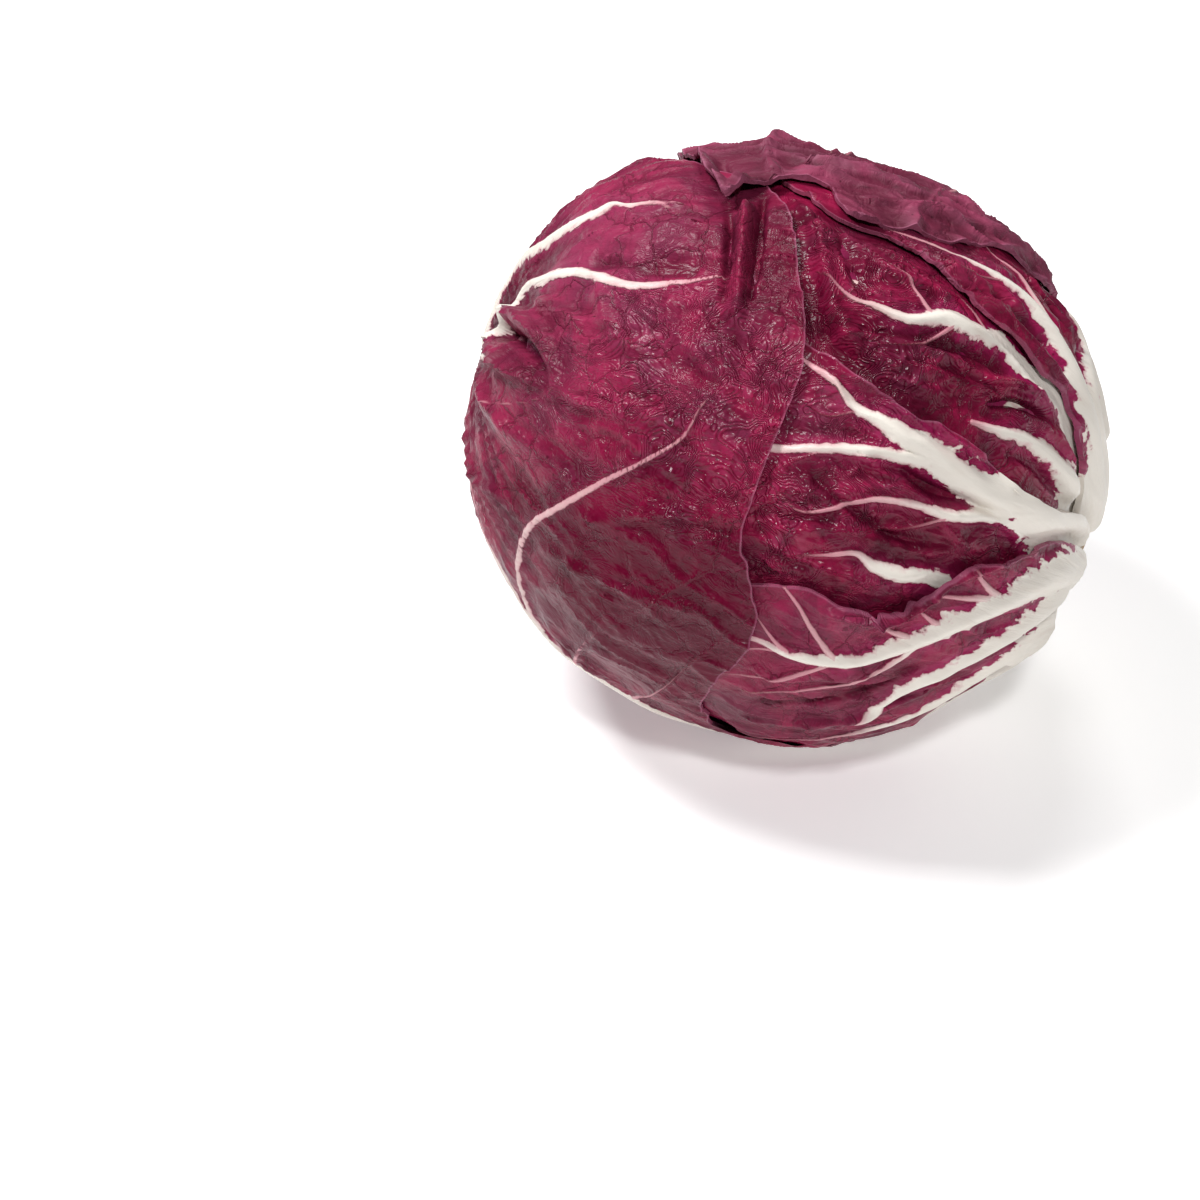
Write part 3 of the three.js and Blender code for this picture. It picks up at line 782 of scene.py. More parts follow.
dress_leaf(grow_leaf(
    "cap_leaf",
    outline=[
        (14, -72), (14, -52), (30, -39), (46, -28), (55, -21), (64, -13), (72, -9), (78, -4), (84, 0),
        (90, 2),
        (96, 4), (101, 6), (104, 3), (107, -3), (111, -4), (116, -3), (120, 2), (124, 8), (128, 0),
        (131, -14),
        (134, -38), (128, -68), (112, -92), (88, -104), (60, -104), (34, -94)],
    squares=240, white_base=24,
    ribs=[
        [(14, -60, 10), (40, -62, 6), (70, -58, 3.5), (100, -50, 1.6), (126, -40, 0.9)],
        [(38, -60, 3), (52, -42, 2), (60, -30, 1.3), (68, -18, 0.9)],
        [(60, -60, 2.5), (75, -40, 1.6), (84, -22, 1.1), (88, -8, 0.8)],
        [(85, -54, 1.8), (100, -36, 1.3), (108, -20, 0.9), (112, -11, 0.7)],
        [(50, -62, 2.6), (70, -80, 1.6), (86, -92, 0.8)],
        [(78, -57, 2.0), (96, -72, 1.2), (108, -84, 0.7)]],
    folds=[
        (1.5, [(131, -16, 1.5), (129, -6, 2.8), (127, 3, 3.2), (124, 7, 2.8), (121, 4, 2.2), (120, -1, 1.4)]),
        (1.0, [(127, -12, -1.4), (126, -5, -2.2), (124, 1, -1.8)]),
        (0.8, [(130, -4, 0.8), (128, 3, 1.6), (125, 6, 2.2), (122, 3, 2.4), (122.5, -2, 2.0),
               (125, -2, 1.2)]),
        ((0.7, 1.8), [(112, -10, 0.8), (104, -8, 1.2), (94, -8, 1.0), (84, -12, 0.6)]),
        ((0.7, 1.8), [(122, -28, 0.9), (108, -34, 1.2), (92, -34, 1.0), (76, -34, 0.6)]),
        ((0.7, 2.2), [(118, -6, 1.4), (119, -18, 1.6), (116, -34, 1.0)]),
        ((0.8, 2.6), [(58, -22, 0.8), (80, -10, 1.2), (98, -2, 1.4)]),
        ((2.4, 0.8), [(70, -24, 1.0), (90, -16, 1.2), (110, -14, 1.2)]),
        ((2.4, 0.8), [(60, -40, 0.8), (84, -30, 1.2), (106, -26, 0.8)])],
    lifts=[(104, 3, 14, 0.8), (125, 4, 8, 1.2)],
    dents=[(100, -40, 40, -1.6)],
    patches={"deep": [(106, 2, 7, 0.4), (60, -16, 12, 0.2)]},
    wrinkle=1.1, crinkle=0.2, bloom=0.5, ragged=1.0, seed=11), dull_skin)

# %% [markdown]
# The leaf that wraps the tip is the largest. Its stalk comes up the front from below, hidden further back,
# and its blade goes right over the tip. Its free margin comes back to the front, with a sharp pleat at the
# top.

# %% Tip wrap leaf
dress_leaf(grow_leaf(
    "tip_wrap_leaf",
    outline=[
        (14, 142), (14, 160), (45, 160), (70, 160), (88, 160), (104, 164), (118, 176), (130, 195), (140, 225),
        (146, 265), (144, 300), (138, 330), (130, 346), (121, 356), (116, 4), (112, 12), (109, 22), (105, 30),
        (102, 41), (101, 60), (99, 73), (94, 80), (90, 86), (88, 94), (89, 106), (87, 120), (78, 133),
        (62, 141),
        (45, 142)],
    squares=284, white_base=26,
    ribs=[
        [(14, 151, 9), (30, 151, 8), (50, 150, 6.5), (70, 149, 5.5), (90, 147, 4.5), (105, 144, 3.8),
         (120, 140, 3), (132, 137, 2.4), (142, 139, 1.8), (155, 150, 1.2)],
        [(118, 141, 2.4), (127, 130, 2.2), (133, 117, 2.1), (134, 104, 2.0), (131, 92, 1.9), (126, 79, 1.7),
         (121, 70, 1.5), (116, 61, 1.3), (115, 53, 1.1), (112, 48, 0.8)],
        [(172, 140, 3.0), (172, 80, 3.2), (168, 24, 3.2), (160, 28, 2.9), (149, 30, 2.6), (141, 33, 2.3),
         (136, 34, 2.2), (130, 32, 1.9), (125, 30, 1.6), (119, 27, 1.1)],
        [(170, 200, 3.0), (170, -60, 3.0), (164, -9, 3.4), (152, 3, 3.0), (144, 5, 2.4), (137, 7, 1.7),
         (131, 9, 1.0)],
        [(137, 7, 1.2), (131, 13, 1.0), (125, 16, 0.8)],
        [(157, 94, 1.3), (147, 76, 1.1), (143, 68, 1.0), (142, 64, 0.9), (134, 55, 0.8), (126, 51, 0.7)],
        [(149, 50, 0.9), (140, 44, 0.9), (131, 41, 0.8), (122, 38, 0.7)],
        [(96, 146, 2.0), (97, 132, 1.4), (96, 116, 1.1), (95, 102, 0.9), (93, 93, 0.7)],
        [(108, 144, 2.0), (112, 128, 1.4), (112, 112, 1.0), (108, 97, 0.9), (103, 84, 0.8)],
        [(131, 92, 1.0), (124, 90, 0.9), (114, 86, 0.8)],
        [(110, 143, 2.4), (122, 152, 1.8), (134, 168, 1.2), (140, 190, 0.8)],
        [(128, 138, 2.2), (142, 154, 1.6), (152, 190, 1.0), (152, 230, 0.8)],
        [(170, 200, 2.2), (158, 240, 1.5), (150, 280, 0.9)]],
    folds=[
        (1.3, [(126, -6, 2.4), (122, 3, 4.4), (120, 12, 4.4), (118.5, 22, 3.8), (117, 30, 2.6),
               (115, 39, 0.4)]),
        (0.8, [(118.5, 2, -1.6), (117.5, 12, -2.4), (116, 22, -2.2), (114.8, 31, -1.2)]),
        (0.8, [(125, 6, -1.6), (122.8, 14, -2.4), (121, 24, -2.2), (119, 34, -0.8)]),
        ((0.8, 2.4), [(150, -10, 0.9), (138, 14, 1.3), (128, 18, 1.1), (124, 24, 0.4)]),
        ((2.4, 0.8), [(150, 14, 0.9), (140, 21, 1.2), (130, 24, 1.0)]),
        (1.6, [(146, 26, -0.9), (136, 28, -1.0), (127, 28, -0.6)]),
        ((0.8, 2.6), [(172, 44, 3.0), (163, 48, 4.2), (154, 53, 3.8), (148, 58, 2.0), (143, 64, 0.4)]),
        ((2.2, 0.8), [(172, 90, 2.6), (164, 80, 3.4), (155, 74, 3.4), (148, 70, 1.4)]),
        (1.4, [(170, 66, -3.4), (160, 61, -4.0), (152, 62, -3.6), (146, 66, -1.4)]),
        ((0.8, 1.6), [(158, 40, 1.6), (152, 42, 2.0), (146, 46, 1.4), (141, 52, 0.4)]),
        (0.9, [(164, 54, 1.8), (160, 68, 2.0), (158, 82, 1.4)]),
        ((0.8, 2.0), [(168, 112, 1.6), (158, 96, 2.0), (148, 88, 1.4), (140, 84, 0.4)]),
        ((0.7, 1.8), [(142, 36, 0.9), (138, 44, 1.3), (131, 48, 0.9)]),
        ((1.8, 0.7), [(129, 34, 0.8), (126, 42, 1.1), (119, 46, 0.7)]),
        ((0.7, 2.0), [(137, 66, 1.0), (128, 62, 1.2), (119, 58, 0.6)]),
        ((2.0, 0.7), [(124, 88, 0.9), (114, 78, 1.2), (104, 72, 0.7)]),
        ((0.8, 2.2), [(128, 104, 1.0), (116, 98, 1.3), (102, 92, 0.8)]),
        ((2.2, 0.8), [(144, 112, 1.2), (150, 128, 1.4), (160, 150, 0.8)])],
    lifts=[(93, 81, 8, 0.3)],
    dents=[(158, 70, 9, 1.2), (168, 40, 10, -1.6), (176, 100, 12, -2.0), (150, 86, 9, 1.0),
           (135, 62, 14, 0.7),
           (120, 58, 12, 0.6), (140, 100, 10, -0.8)],
    patches={
        "crinkle": [(124, 50, 20, 0.7), (112, 50, 17, 0.7), (130, 30, 12, 0.2), (136, 78, 14, 0.4),
                    (108, 70, 14, 0.4)],
        "bloom": [(160, 50, 30, 0.25), (148, 8, 26, 0.35), (112, 84, 20, -0.3)],
        # deep patches: darker on the lower front, and painted shade along the groove beside the pleat
        "deep": [(100, 100, 30, 0.9), (115, 100, 22, 0.7), (150, 62, 8, 0.35), (117, 6, 3, 0.5),
                 (116.5, 14, 3, 0.6), (115.5, 22, 3, 0.6), (114.5, 30, 3, 0.4)]},
    wrinkle=0.6, crinkle=0.25, bloom=0.2, ragged=1.0, seed=21), fresh_skin)

# %% [markdown]
# The low front leaf lies under the front of the head. Its thick white rib runs along its middle, and its
# upper margin is rolled, with a small curl where it was pinched.

# %% Low front leaf
dress_leaf(grow_leaf(
    "low_front_leaf",
    outline=[
        (14, 44), (14, 82), (22, 100), (30, 114), (42, 124), (56, 130), (70, 134), (88, 136), (104, 136),
        (116, 128), (120, 112), (116, 96), (106, 88), (97, 84), (91, 80), (85, 77), (78, 77), (71, 76),
        (66, 74),
        (63, 70), (60, 65), (56, 61), (49, 58), (39, 51), (28, 45)],
    squares=250, white_base=27,
    ribs=[
        [(14, 52, 13), (29, 57, 10), (38, 62, 8), (46, 68, 7), (53, 74, 6), (58, 79, 5.2), (64, 84, 4.6),
         (69, 88, 4.0), (75, 90, 3.4), (82, 91, 2.6), (88, 92, 1.9), (97, 95, 1)],
        [(72, 90, 2.2), (76, 87, 1.8), (80, 84, 1.6), (85, 80, 1.4), (93, 76, 1.1)],
        [(78, 91, 1.8), (84, 90, 1.5), (88, 88, 1.2), (92, 85, 1.0)],
        [(59, 81, 2.4), (65, 80, 1.8), (71, 78, 1.2)],
        [(53, 75, 2.6), (58, 76, 1.9), (63, 74, 1.2)],
        [(46, 69, 3.0), (51, 68, 2.2), (56, 69, 1.7), (62, 70, 1.1)],
        [(44, 67, 2.4), (50, 66, 2.0), (54, 64, 1.6), (57, 62, 1.1)],
        [(60, 83, 2.6), (62, 88, 2.0), (68, 95, 1.6), (75, 100, 1.3), (84, 106, 1.0)],
        [(20, 68, 9), (30, 74, 7), (37, 80, 6), (43, 86, 5.5), (50, 92, 5), (55, 97, 4), (58, 104, 2.8),
         (62, 111, 1.4)],
        [(20, 82, 8), (30, 93, 6), (38, 102, 4.5), (46, 110, 3.4), (54, 116, 2.4), (64, 121, 1.4),
         (78, 127, 1.0)],
        [(72, 89, 1.8), (82, 99, 1.3), (92, 108, 1.0), (102, 118, 0.7)],
        [(84, 92, 1.3), (94, 100, 1.0), (104, 108, 0.8)]],
    folds=[
        ((0.9, 1.8), [(42, 53, 0.8), (52, 60, 1.3), (58, 64, 1.5), (62, 70, 1.5)]),
        (0.9, [(62, 71, 1.6), (67, 76, 2.4), (73, 78, 2.2), (79, 79, 1.2)]),
        (0.7, [(65, 73, -1.4), (70, 74, -1.6), (76, 75, -1.0)]),
        (0.7, [(67, 74, 2.2), (72, 72, 2.6), (77, 71, 1.8)]),
        (0.6, [(68, 71, 1.6), (72, 76, 2.2), (70, 78, 1.6)]),
        (0.7, [(70, 71, -1.2), (75, 73, -1.4)]),
        ((0.8, 2.0), [(56, 92, -1.2), (66, 101, -1.4), (78, 108, -0.8)]),
        ((1.8, 0.7), [(50, 100, 1.2), (62, 108, 1.4), (78, 116, 1.0)]),
        ((0.7, 1.8), [(66, 92, 0.8), (78, 97, 1.2), (90, 101, 0.8)]),
        (1.0, [(30, 96, 1.4), (24, 92, 1.8), (20, 86, 1.0)])],
    lifts=[(75, 77, 8, 0.6), (24, 92, 6, 1.0)],
    patches={"crinkle": [(70, 75, 8, 0.6), (50, 60, 10, 0.3), (76, 100, 16, 0.3)],
             "bloom": [(74, 84, 16, 0.15)],
             # deep patches: painted shade in the pinched curl and along the sunk fold, and a darker patch
             # further out
             "deep": [(98, 96, 14, 0.5), (70, 73, 4, 0.7), (58, 93, 5, 0.5)]},
    wrinkle=0.6, crinkle=0.12, bloom=0.3, ragged=0.6, seed=31), fresh_skin)

# %% [markdown]
# The mid front leaf has the broadest rib, which forks twice. Its blade is deeply wrinkled between the
# forks.

# %% Mid front leaf
dress_leaf(grow_leaf(
    "mid_front_leaf",
    outline=[
        (14, 32), (14, 58), (28, 62), (45, 74), (60, 86), (76, 94), (92, 98), (107, 96), (119, 85), (127, 66),
        (126, 48), (117, 38), (108, 35), (101, 36), (94, 38), (87, 40), (80, 41), (74, 40), (66, 41),
        (56, 43),
        (44, 42), (30, 35)],
    squares=250, white_base=36,
    ribs=[
        [(14, 44, 17), (27, 43, 15), (37, 44, 13.5), (46, 45, 12), (54, 46, 10), (62, 47, 7.6), (71, 46, 6.2),
         (77, 45, 5.4), (81, 45, 4.4), (86, 44, 3.2), (90, 44, 2.6), (96, 41, 2.0), (102, 39, 1.5),
         (112, 36, 0.9)],
        [(74, 46, 4.4), (79, 48, 3.4), (84, 49, 2.8), (92, 52, 2.4), (101, 56, 2.0), (110, 60, 1.2)],
        [(42, 46, 8), (50, 46, 6.5), (58, 50, 4.2), (66, 54, 2.8), (74, 55, 2.2), (81, 57, 1.8),
         (92, 64, 1.2),
         (98, 63, 1), (108, 70, 0.8)],
        [(60, 67, 4.2), (66, 67, 3.8), (71, 68, 3.2), (76, 68, 2.6), (80, 67, 2.0), (84, 69, 1.4),
         (90, 72, 0.9)],
        [(92, 52, 1.0), (98, 58, 0.9), (103, 66, 0.8)],
        [(90, 44, 1.2), (95, 47, 1.0), (100, 46, 0.8)],
        [(66, 54, 1.4), (74, 60, 1.0), (84, 64, 0.8)]],
    folds=[
        (0.9, [(78, 50, -1.0), (72, 51, -1.7), (64, 50, -2.0), (56, 50, -1.4)]),
        ((0.8, 1.6), [(86, 51, 0.8), (76, 53, 1.2), (66, 53, 0.9)]),
        ((1.4, 0.7), [(92, 58, -1.0), (82, 61, -1.2), (74, 62, -1.2), (62, 59, -0.5)]),
        ((0.7, 1.8), [(94, 68, 1.2), (84, 64, 1.3), (72, 63, 1.0)]),
        ((1.8, 0.7), [(92, 76, 1.2), (80, 75, 1.4), (70, 74, 1.0)]),
        ((0.7, 1.8), [(100, 86, 1.0), (88, 82, 1.2), (76, 80, 0.8)]),
        ((2.2, 0.8), [(92, 38, 0.9), (80, 40, 1.3), (68, 42, 1.3), (58, 44, 0.6)]),
        ((0.7, 1.6), [(96, 41, 0.8), (88, 47, 1.0), (80, 47, 0.5)]),
        (0.8, [(50, 62, -1.0), (60, 64, -1.1), (68, 64, -0.5)]),
        (0.7, [(70, 42, 0.9), (78, 42, 1.2), (86, 41, 0.9)])],
    lifts=[(80, 38, 14, 0.5), (60, 42, 12, 0.5)],
    patches={"crinkle": [(92, 47, 13, 0.7), (96, 60, 12, 0.7), (86, 66, 12, 0.45), (68, 50, 6, -0.3)],
             "bloom": [(94, 48, 9, 0.3), (64, 64, 10, 0.1)],
             # deep patches: painted shade under the upper front leaf's rolled margin and in the sunk folds
             "deep": [(66, 58, 12, 0.35), (102, 38, 7, 0.7), (84, 62, 6, 0.3)]},
    wrinkle=0.95, crinkle=0.45, bloom=0.1, ragged=0.7, seed=41), fresh_skin)

# %% [markdown]
# The shoulder leaf lies high on the stem side, half under the cap. Two ribs run up it and meet near the
# stem.

# %% Shoulder leaf
dress_leaf(grow_leaf(
    "shoulder_leaf",
    outline=[
        (14, -8), (14, 24), (32, 24), (44, 18), (50, 15), (57, 16), (65, 15), (75, 14), (85, 10), (94, 6),
        (100, 6), (106, 4), (117, -8), (120, -28), (110, -44), (90, -50), (66, -48), (42, -40), (27, -28)],
    squares=230, white_base=34,
    ribs=[
        [(14, 10, 11), (30, 13, 9), (40, 12, 7.6), (47, 10, 6.6), (54, 7, 5.6), (61, 4, 4.6), (66, 3, 3.6),
         (72, 3, 2.8), (79, 3, 2.2), (83, 2, 1.8), (90, 3, 1.4), (97, 4, 1.0)],
        [(57, 3, 3.0), (60, 2, 2.4), (65, -2, 1.8), (70, -5, 1.4), (80, -12, 1.0)],
        [(14, 2, 9), (30, 4, 7), (39, 6, 6.0), (44, 0, 5.0), (45, -14, 4.0), (52, -17, 3.0), (66, -24, 1.4)],
        [(30, -6, 6), (38, -12, 5), (46, -22, 3.5), (58, -32, 1.6)],
        [(72, 4, 1.2), (80, 8, 1.0), (88, 8, 0.8)]],
    folds=[
        ((1.8, 0.8), [(52, 14, 0.8), (62, 12, 1.2), (74, 11, 1.0), (84, 8, 0.6)]),
        ((1.8, 0.8), [(74, 7, 0.9), (86, 6, 1.1), (98, 3, 0.8)]),
        (0.9, [(58, 9, -1.1), (70, 8, -1.1), (80, 6, -0.5)]),
        (0.9, [(48, -4, -1.0), (58, -6, -1.2), (70, -8, -0.6)]),
        ((0.8, 1.8), [(74, -2, 0.9), (86, -3, 1.1), (98, -2, 0.8)])],
    lifts=[(65, 14, 14, 0.4)],
    patches={"crinkle": [(90, 4, 12, 0.35), (80, -4, 10, 0.3)], "bloom": [(84, 5, 14, 0.2)]},
    wrinkle=0.95, crinkle=0.35, bloom=0.15, ragged=0.6, seed=51), fresh_skin)

# %% [markdown]
# Two leaves carry the weight of the head and lie against the floor side and the back.

# %% Under leaf and back top leaf
dress_leaf(grow_leaf(
    "under_leaf",
    outline=[
        (14, 160), (14, 190), (30, 200), (48, 212), (68, 220), (90, 222), (108, 215), (120, 198), (124, 178),
        (120, 158), (108, 140), (90, 130), (68, 130), (48, 138), (30, 150)],
    squares=170, white_base=34, ribs=feather(175, 124, 9, seed=1),
    lifts=[(70, 131, 20, 1.0), (90, 131, 16, 1.0), (80, 219, 20, 0.8)],
    wrinkle=0.6, crinkle=0.25, bloom=0.4, ragged=0.8, seed=61), fresh_skin)

dress_leaf(grow_leaf(
    "back_top_leaf",
    outline=[
        (14, -116), (14, -86), (30, -74), (52, -62), (78, -55), (103, -58), (122, -74), (132, -100),
        (128, -130), (112, -148), (90, -152), (66, -146), (44, -134), (28, -126)],
    squares=170, white_base=32, ribs=feather(-102, 130, 8, seed=2),
    lifts=[(90, -151, 30, 1.0), (60, -142, 20, 1.0)],
    wrinkle=0.8, crinkle=0.25, bloom=0.45, ragged=0.8, seed=71), fresh_skin)

# %% [markdown]
# The upper front leaf fills the front between the tip wrap leaf and the mid front leaf. Its free margin is
# rolled back and shines, and its lower side rib runs past a small torn flap.

# %% Upper front leaf
dress_leaf(grow_leaf(
    "upper_front_leaf",
    outline=[
        (14, 10), (14, 42), (30, 50), (48, 60), (68, 66), (86, 66), (100, 60), (108, 50), (113, 38),
        (116, 26),
        (119, 14), (121, 4), (120, -8), (112, -22), (94, -26), (70, -22), (48, -12), (30, 0)],
    squares=260, white_base=37,
    ribs=[
        [(14, 22, 14), (30, 18, 11), (43, 16, 8.4), (50, 16, 7.2), (56, 18, 6.4), (62, 18, 6.0),
         (67, 17, 5.4),
         (71, 18, 5.0), (76, 20, 4.6), (81, 21, 4.0), (84, 23, 3.2), (88, 25, 2.6), (94, 25, 2.0),
         (99, 25, 1.5),
         (106, 22, 0.9)],
        [(14, 34, 11), (32, 35, 7.5), (40, 32, 6), (46, 32, 5.2), (52, 32, 4.2), (58, 33, 3.2), (64, 35, 2.4),
         (69, 36, 1.6)],
        [(84, 22, 1.6), (90, 17, 1.2), (97, 14, 0.9), (104, 12, 0.8)],
        [(78, 20, 1.6), (84, 28, 1.1), (92, 32, 0.8)],
        [(70, 18, 1.6), (78, 13, 1.1), (86, 12, 0.8)]],
    folds=[
        (2.0, [(116, -4, 1.8), (111.5, 5, 2.2), (107.5, 13, 2.2), (104.5, 21, 2.2), (100.5, 28, 2.0),
               (95, 33, 1.8), (88, 35, 0.8)]),
        (1.3, [(109, 1, -0.8), (104.5, 8, -1.4), (101, 16, -1.2), (96, 24, -0.8)]),
        (1.3, [(115, 3, -0.8), (110.5, 14, -1.1), (107.5, 22, -1.3), (103, 30, -1.5), (97, 35, -1.6),
               (91, 37, -1.4), (85, 38, -0.7)]),
        ((1.5, 0.7), [(100, 18, 0.9), (88, 17, 1.2), (76, 15, 1.1), (66, 13, 0.5)]),
        ((0.7, 1.5), [(98, 12, 0.8), (88, 12, 1.1), (78, 11, 0.9)]),
        ((1.3, 0.6), [(94, 30, -0.9), (82, 27, -1.1), (72, 24, -1.0), (60, 23, -0.6)]),
        ((0.7, 1.6), [(90, 34, 1.0), (78, 31, 1.4), (70, 29, 1.3), (60, 28, 0.6)]),
        ((1.6, 0.7), [(84, 40, 0.9), (74, 38, 1.2), (64, 38, 0.8)]),
        ((1.4, 0.6), [(68, 27, 2.6), (63, 24, 3.0), (57, 22, 2.0), (51, 22, 0.5)]),
        (0.9, [(66, 30, -1.8), (61, 27, -2.8), (55, 25, -2.0), (50, 26, -0.4)]),
        (0.9, [(58, 37, -1.0), (50, 36, -1.3), (42, 36, -0.8)]),
        (0.8, [(54, 27, 0.9), (47, 26, 1.1), (41, 27, 0.6)])],
    patches={"crinkle": [(92, 22, 14, 0.65), (78, 30, 12, 0.6), (104, 16, 10, 0.3), (60, 30, 8, 0.3)],
             "bloom": [(100, 10, 10, 0.2)],
             # deep patches: painted shade under the rolled margin and in the sunk folds
             "deep": [(98, 38, 6, 1.0), (104, 31, 4, 0.9), (107, 25, 4, 0.8), (110, 16, 3, 0.8),
                      (113, 7, 3, 0.6),
                      (90, 40, 5, 0.8), (60, 27, 5, 0.7), (74, 40, 8, 0.4)]},
    wrinkle=0.95, crinkle=0.45, bloom=0.1, ragged=0.5, seed=81), fresh_skin)

# %% Back low leaf and side leaf
dress_leaf(grow_leaf(
    "back_low_leaf",
    outline=[
        (14, -162), (14, -130), (30, -116), (52, -102), (78, -96), (104, -100), (126, -114), (140, -140),
        (136, -176), (120, -200), (96, -208), (70, -202), (46, -190), (28, -176)],
    squares=170, white_base=34, ribs=feather(-147, 136, 9, seed=3),
    wrinkle=0.8, crinkle=0.3, bloom=0.35, ragged=0.8, seed=91), fresh_skin)

dress_leaf(grow_leaf(
    "side_leaf",
    outline=[
        (14, 94), (14, 126), (28, 140), (48, 152), (72, 160), (98, 160), (118, 148), (130, 124), (128, 94),
        (114, 76), (94, 68), (70, 70), (48, 76), (28, 84)],
    squares=170, white_base=42,
    ribs=[
        [(14, 106, 14), (28, 112, 12), (40, 108, 10), (50, 110, 8), (60, 114, 6), (80, 120, 3.5),
         (105, 122, 1.6)],
        [(20, 96, 8), (32, 92, 6), (42, 92, 4), (52, 97, 2.4), (62, 102, 1.4)],
        [(46, 110, 3), (54, 120, 2), (64, 132, 1.2), (76, 142, 0.8)],
        [(54, 111, 2.4), (66, 108, 1.6), (80, 104, 0.9)]],
    folds=[(1.6, [(30, 100, 1.0), (42, 100, 1.2), (54, 104, 0.6)]),
           (1.4, [(34, 118, -0.9), (46, 120, -0.8)])],
    wrinkle=0.8, crinkle=0.2, bloom=0.25, ragged=0.8, seed=101), fresh_skin)

# %% [markdown]
# ## Inner leaves
# Inside, each new leaf grows about 137.5 degrees further round the stem than the one before, so that none
# sits right behind another. They share one spoon shape and get smaller towards the heart.
# They are hidden on the whole head, so their grids are coarser.

# %% Inner leaves
GOLDEN_ANGLE = 137.5
INNER_LEAVES = 15
SPOON = [(45, 42), (66, 62), (88, 74), (110, 78), (132, 72), (150, 58)]  # up, half width round
STEM_TIP, STEM_BUTT, STEM_NECK_RADIUS, STEM_RADIUS = 30.0, 65.5, 8.5, 13.0  # mm

for number in range(INNER_LEAVES):
    middle = 20 + number * GOLDEN_ANGLE
    reach, _ = layered_radius(place(np.array([20.0]), np.array([middle])))
    stem_radius = np.interp(reach[0], [STEM_TIP, STEM_BUTT], [STEM_NECK_RADIUS, STEM_RADIUS])
    base = math.degrees(math.asin((stem_radius + 0.7) / reach[0])) + 1.5
    spoon = [(up, half) for up, half in [(26, 20)] + SPOON if up > base + 6]
    outline = ([(base, middle - 16), (base, middle + 16)] + [(up, middle + half) for up, half in spoon]
               + [(163, middle)] + [(up, middle - half) for up, half in reversed(spoon)])
    inner_leaf = grow_leaf(
        f"inner_leaf_{number + 1:02d}", outline, squares=76, inner=True, white_base=base + 16,
        ribs=feather(middle, 158, 8 - number * 0.25, spread=50, pairs=4, seed=200 + number, base=base),
        wrinkle=0.9, crinkle=0.3, bloom=0.1, ragged=1.2, seed=300 + number)
    inner_leaf.data.materials.append(inner_skin)

# %% [markdown]
# ## Stem and heart
# The stem is cut flat, and its cut face has dried to a pale brown with a ring where the skin starts. It is
# modelled from a filled circle, as by hand: inset for the ring, extruded and scaled for the cone.

# %% Stem
def turn_to_stem_axis(piece):
    """Stands a piece made along +Z on the stem's axis, and puts its place into its mesh."""
    side, up = FRONT_LINE, np.cross(STEM_AXIS, FRONT_LINE)
    piece.matrix_world = Matrix([
        *np.column_stack([side, up, STEM_AXIS, HEAD_CENTRE * MM]).tolist(), [0, 0, 0, 1]])
    deselect()
    piece.select_set(True)
    bpy.context.view_layer.objects.active = piece
    bpy.ops.object.transform_apply(location=True, rotation=True, scale=True)


def points_of(piece):
    flat = np.empty(len(piece.data.vertices) * 3)
    piece.data.vertices.foreach_get("co", flat)
    return flat.reshape(-1, 3) / MM


deselect()
bpy.ops.mesh.primitive_circle_add(vertices=64, radius=(STEM_RADIUS - 1.2) * MM, fill_type="NGON",
                                  location=(0, 0, 0))
stem = bpy.context.object
stem.name = stem.data.name = "cut_stem"
bpy.ops.object.mode_set(mode="EDIT")
bpy.ops.mesh.select_all(action="SELECT")
bpy.ops.transform.translate(value=(0, 0, STEM_BUTT * MM))
for height, scale in ((-0.5, 1.07), (-1.2, 1.03), (-6, 0.98), (-8, 0.93), (-9, 0.87), (-7, 0.86), (-3, 0.72)):
    bpy.ops.mesh.extrude_region_move(TRANSFORM_OT_translate={"value": (0, 0, height * MM)})
    bpy.ops.transform.resize(value=(scale, scale, 1))
bpy.ops.object.mode_set(mode="OBJECT")
for at_height, insets in ((STEM_BUTT, (0.9, 1.4, 3.0, 3.0)), (STEM_BUTT - 34.7, (2.0, 1.5))):
    bpy.ops.object.mode_set(mode="EDIT")
    bpy.ops.mesh.select_all(action="DESELECT")
    bpy.ops.object.mode_set(mode="OBJECT")
    for face in stem.data.polygons:
        face.select = abs(face.center.z / MM - at_height) < 0.4 and abs(face.normal.z) > 0.9
    bpy.ops.object.mode_set(mode="EDIT")
    bpy.ops.mesh.select_mode(type="FACE")
    for depth in insets:
        bpy.ops.mesh.inset(thickness=depth * MM, depth=0)
    bpy.ops.object.mode_set(mode="OBJECT")
bpy.ops.object.mode_set(mode="EDIT")
bpy.ops.mesh.select_all(action="SELECT")
bpy.ops.mesh.normals_make_consistent(inside=False)
bpy.ops.object.mode_set(mode="OBJECT")
apply_modifier(stem, "SUBSURF", {"levels": 2, "render_levels": 2})
stem_points = points_of(stem)
from_axis = np.hypot(stem_points[:, 0], stem_points[:, 1])
outward = np.column_stack([stem_points[:, :2] / np.maximum(from_axis, 0.1)[:, None],
                           np.zeros(len(from_axis))])
on_face = smoothstep(STEM_BUTT - 1.5, STEM_BUTT, stem_points[:, 2])
stem_points += outward * ((1 - on_face) * 0.5 * noise(stem_points, (3, 3, 24), 401))[:, None]
stem_points[:, 2] += on_face * (0.35 * noise(stem_points, 5, 402) - 0.5 * np.exp(-((from_axis / 4) ** 2)))
set_points(stem, stem_points)
set_attribute(stem, "from_axis", from_axis)
set_attribute(stem, "on_cut", on_face)
turn_to_stem_axis(stem)
bpy.ops.object.shade_smooth_by_angle(angle=math.radians(50))
stem_skin = new_material("cut chicory stem, drying")
stem_where = add_node(stem_skin, "ShaderNodeTexCoord", output="Object")
add = partial(add_node, stem_skin)
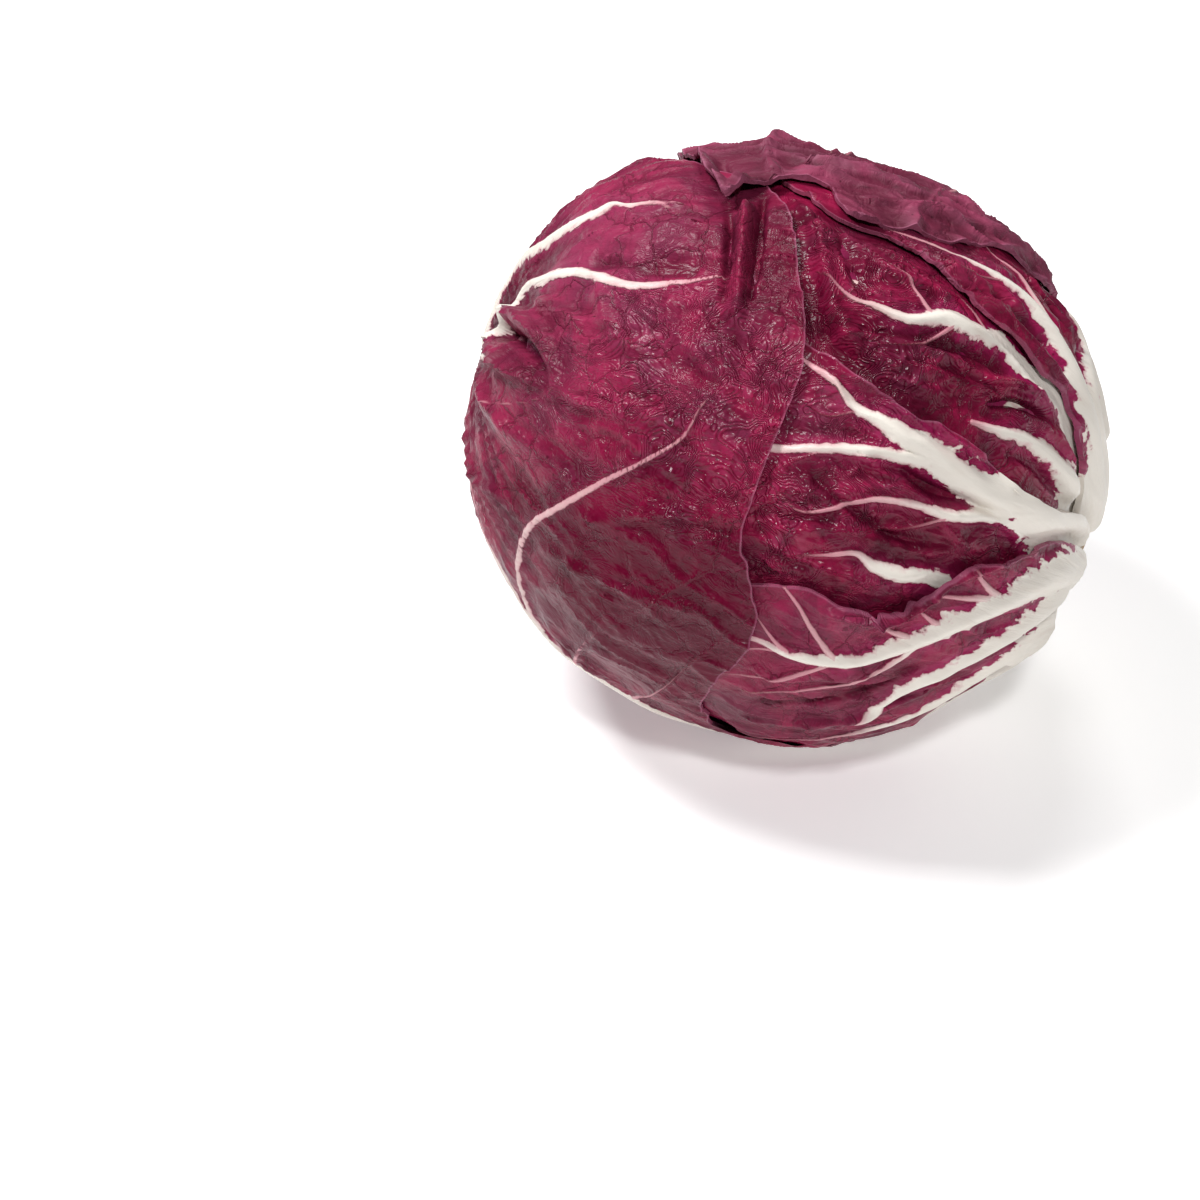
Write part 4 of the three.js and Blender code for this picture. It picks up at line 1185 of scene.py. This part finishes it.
blotch = add(NOISE, {"Vector": stem_where, "Scale": per_mm(4), "Detail": 3, "Roughness": 0.6})
blotch = add(MAP, {0: blotch, 1: 0.3, 2: 0.7, 3: 0.1, 4: 0.6}, **SMOOTH)
ring = add("ShaderNodeAttribute", output="Fac", attribute_name="from_axis")
ring = add(MAP, {0: ring, 1: 8.5, 2: 11.5, 4: 0.4}, **SMOOTH)
dried = add(MATH, {0: blotch, 1: ring}, operation="ADD")
on_cut = add("ShaderNodeAttribute", output="Fac", attribute_name="on_cut")
dried = add(MATH, {0: dried, 1: on_cut}, operation="MULTIPLY")
speck = add(NOISE, {"Vector": stem_where, "Scale": per_mm(0.9), "Detail": 2})
darker = add(MAP, {0: speck, 1: 0.35, 2: 0.7, 4: 0.5}, **SMOOTH)
stem_colour = add(MIX, {0: darker, 6: "#e0d4bd", 7: "#cdbd9f"}, **COLOUR)
stem_colour = add(MIX, {0: dried, 6: stem_colour, 7: "#96683c"}, **COLOUR)
stem_bump = add("ShaderNodeBump", {"Height": speck, "Strength": 0.6, "Distance": 0.2 * MM})
stem_shader = add("ShaderNodeBsdfPrincipled", {
    "Base Color": stem_colour, "Normal": stem_bump, "Roughness": 0.6, "IOR": 1.4})
stem.data.materials.append(finish_material(stem_skin, stem_shader))
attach(stem, "root")
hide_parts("stem")
print("stem mm", [round(v / MM) for v in stem.dimensions])

# %% [markdown]
# The heart bud is a tight twist of the youngest leaves, right above the stem. A ball is drawn out to an egg
# and given four spiral furrows.

# %% Heart bud
HEART_TIP, HEART_RADIUS = -15.0, 11.0  # mm
deselect()
bpy.ops.mesh.primitive_uv_sphere_add(segments=96, ring_count=64, radius=MM, location=(0, 0, 0))
heart = bpy.context.object
heart.name = heart.data.name = "heart_of_young_leaves"
ball = points_of(heart)
heart_low, heart_high = HEART_TIP, STEM_TIP - 0.7
height = (heart_low + heart_high) / 2 + ball[:, 2] * (heart_high - heart_low) / 2
turn = np.arctan2(ball[:, 1], ball[:, 0])
girth = np.hypot(ball[:, 0], ball[:, 1]) * HEART_RADIUS
girth *= np.interp(height, [heart_low, 0, heart_high], [1, 1, 0.6])
furrow = np.abs(np.sin(2 * turn + height / 9)) ** 0.5
girth *= 0.8 + 0.2 * furrow + 0.05 * noise(ball * 11, 4, 411)
set_points(heart, np.column_stack([girth * np.cos(turn), girth * np.sin(turn), height]))
set_attribute(heart, "furrow", furrow)
turn_to_stem_axis(heart)
bpy.ops.object.shade_smooth()
heart_skin = new_material("heart leaves, pale and tender")
add = partial(add_node, heart_skin)
heart_where = add("ShaderNodeTexCoord", output="Object")
crest = add("ShaderNodeAttribute", output="Fac", attribute_name="furrow")
crest = add(MAP, {0: crest, 1: 0.5, 2: 1.0}, **SMOOTH)
blush = add(NOISE, {"Vector": heart_where, "Scale": per_mm(6), "Detail": 3})
blush = add(MAP, {0: blush, 1: 0.4, 2: 0.65}, **SMOOTH)
blush = add(MATH, {0: blush, 1: crest}, operation="MULTIPLY")
heart_colour = add(MIX, {0: blush, 6: "#ebe2c8", 7: "#a83a6c"}, **COLOUR)
heart_shader = add("ShaderNodeBsdfPrincipled", {"Base Color": heart_colour, "Roughness": 0.4, "IOR": 1.4})
heart.data.materials.append(finish_material(heart_skin, heart_shader))
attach(heart, "root")
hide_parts("heart_bud")
print("heart mm", [round(v / MM) for v in heart.dimensions])
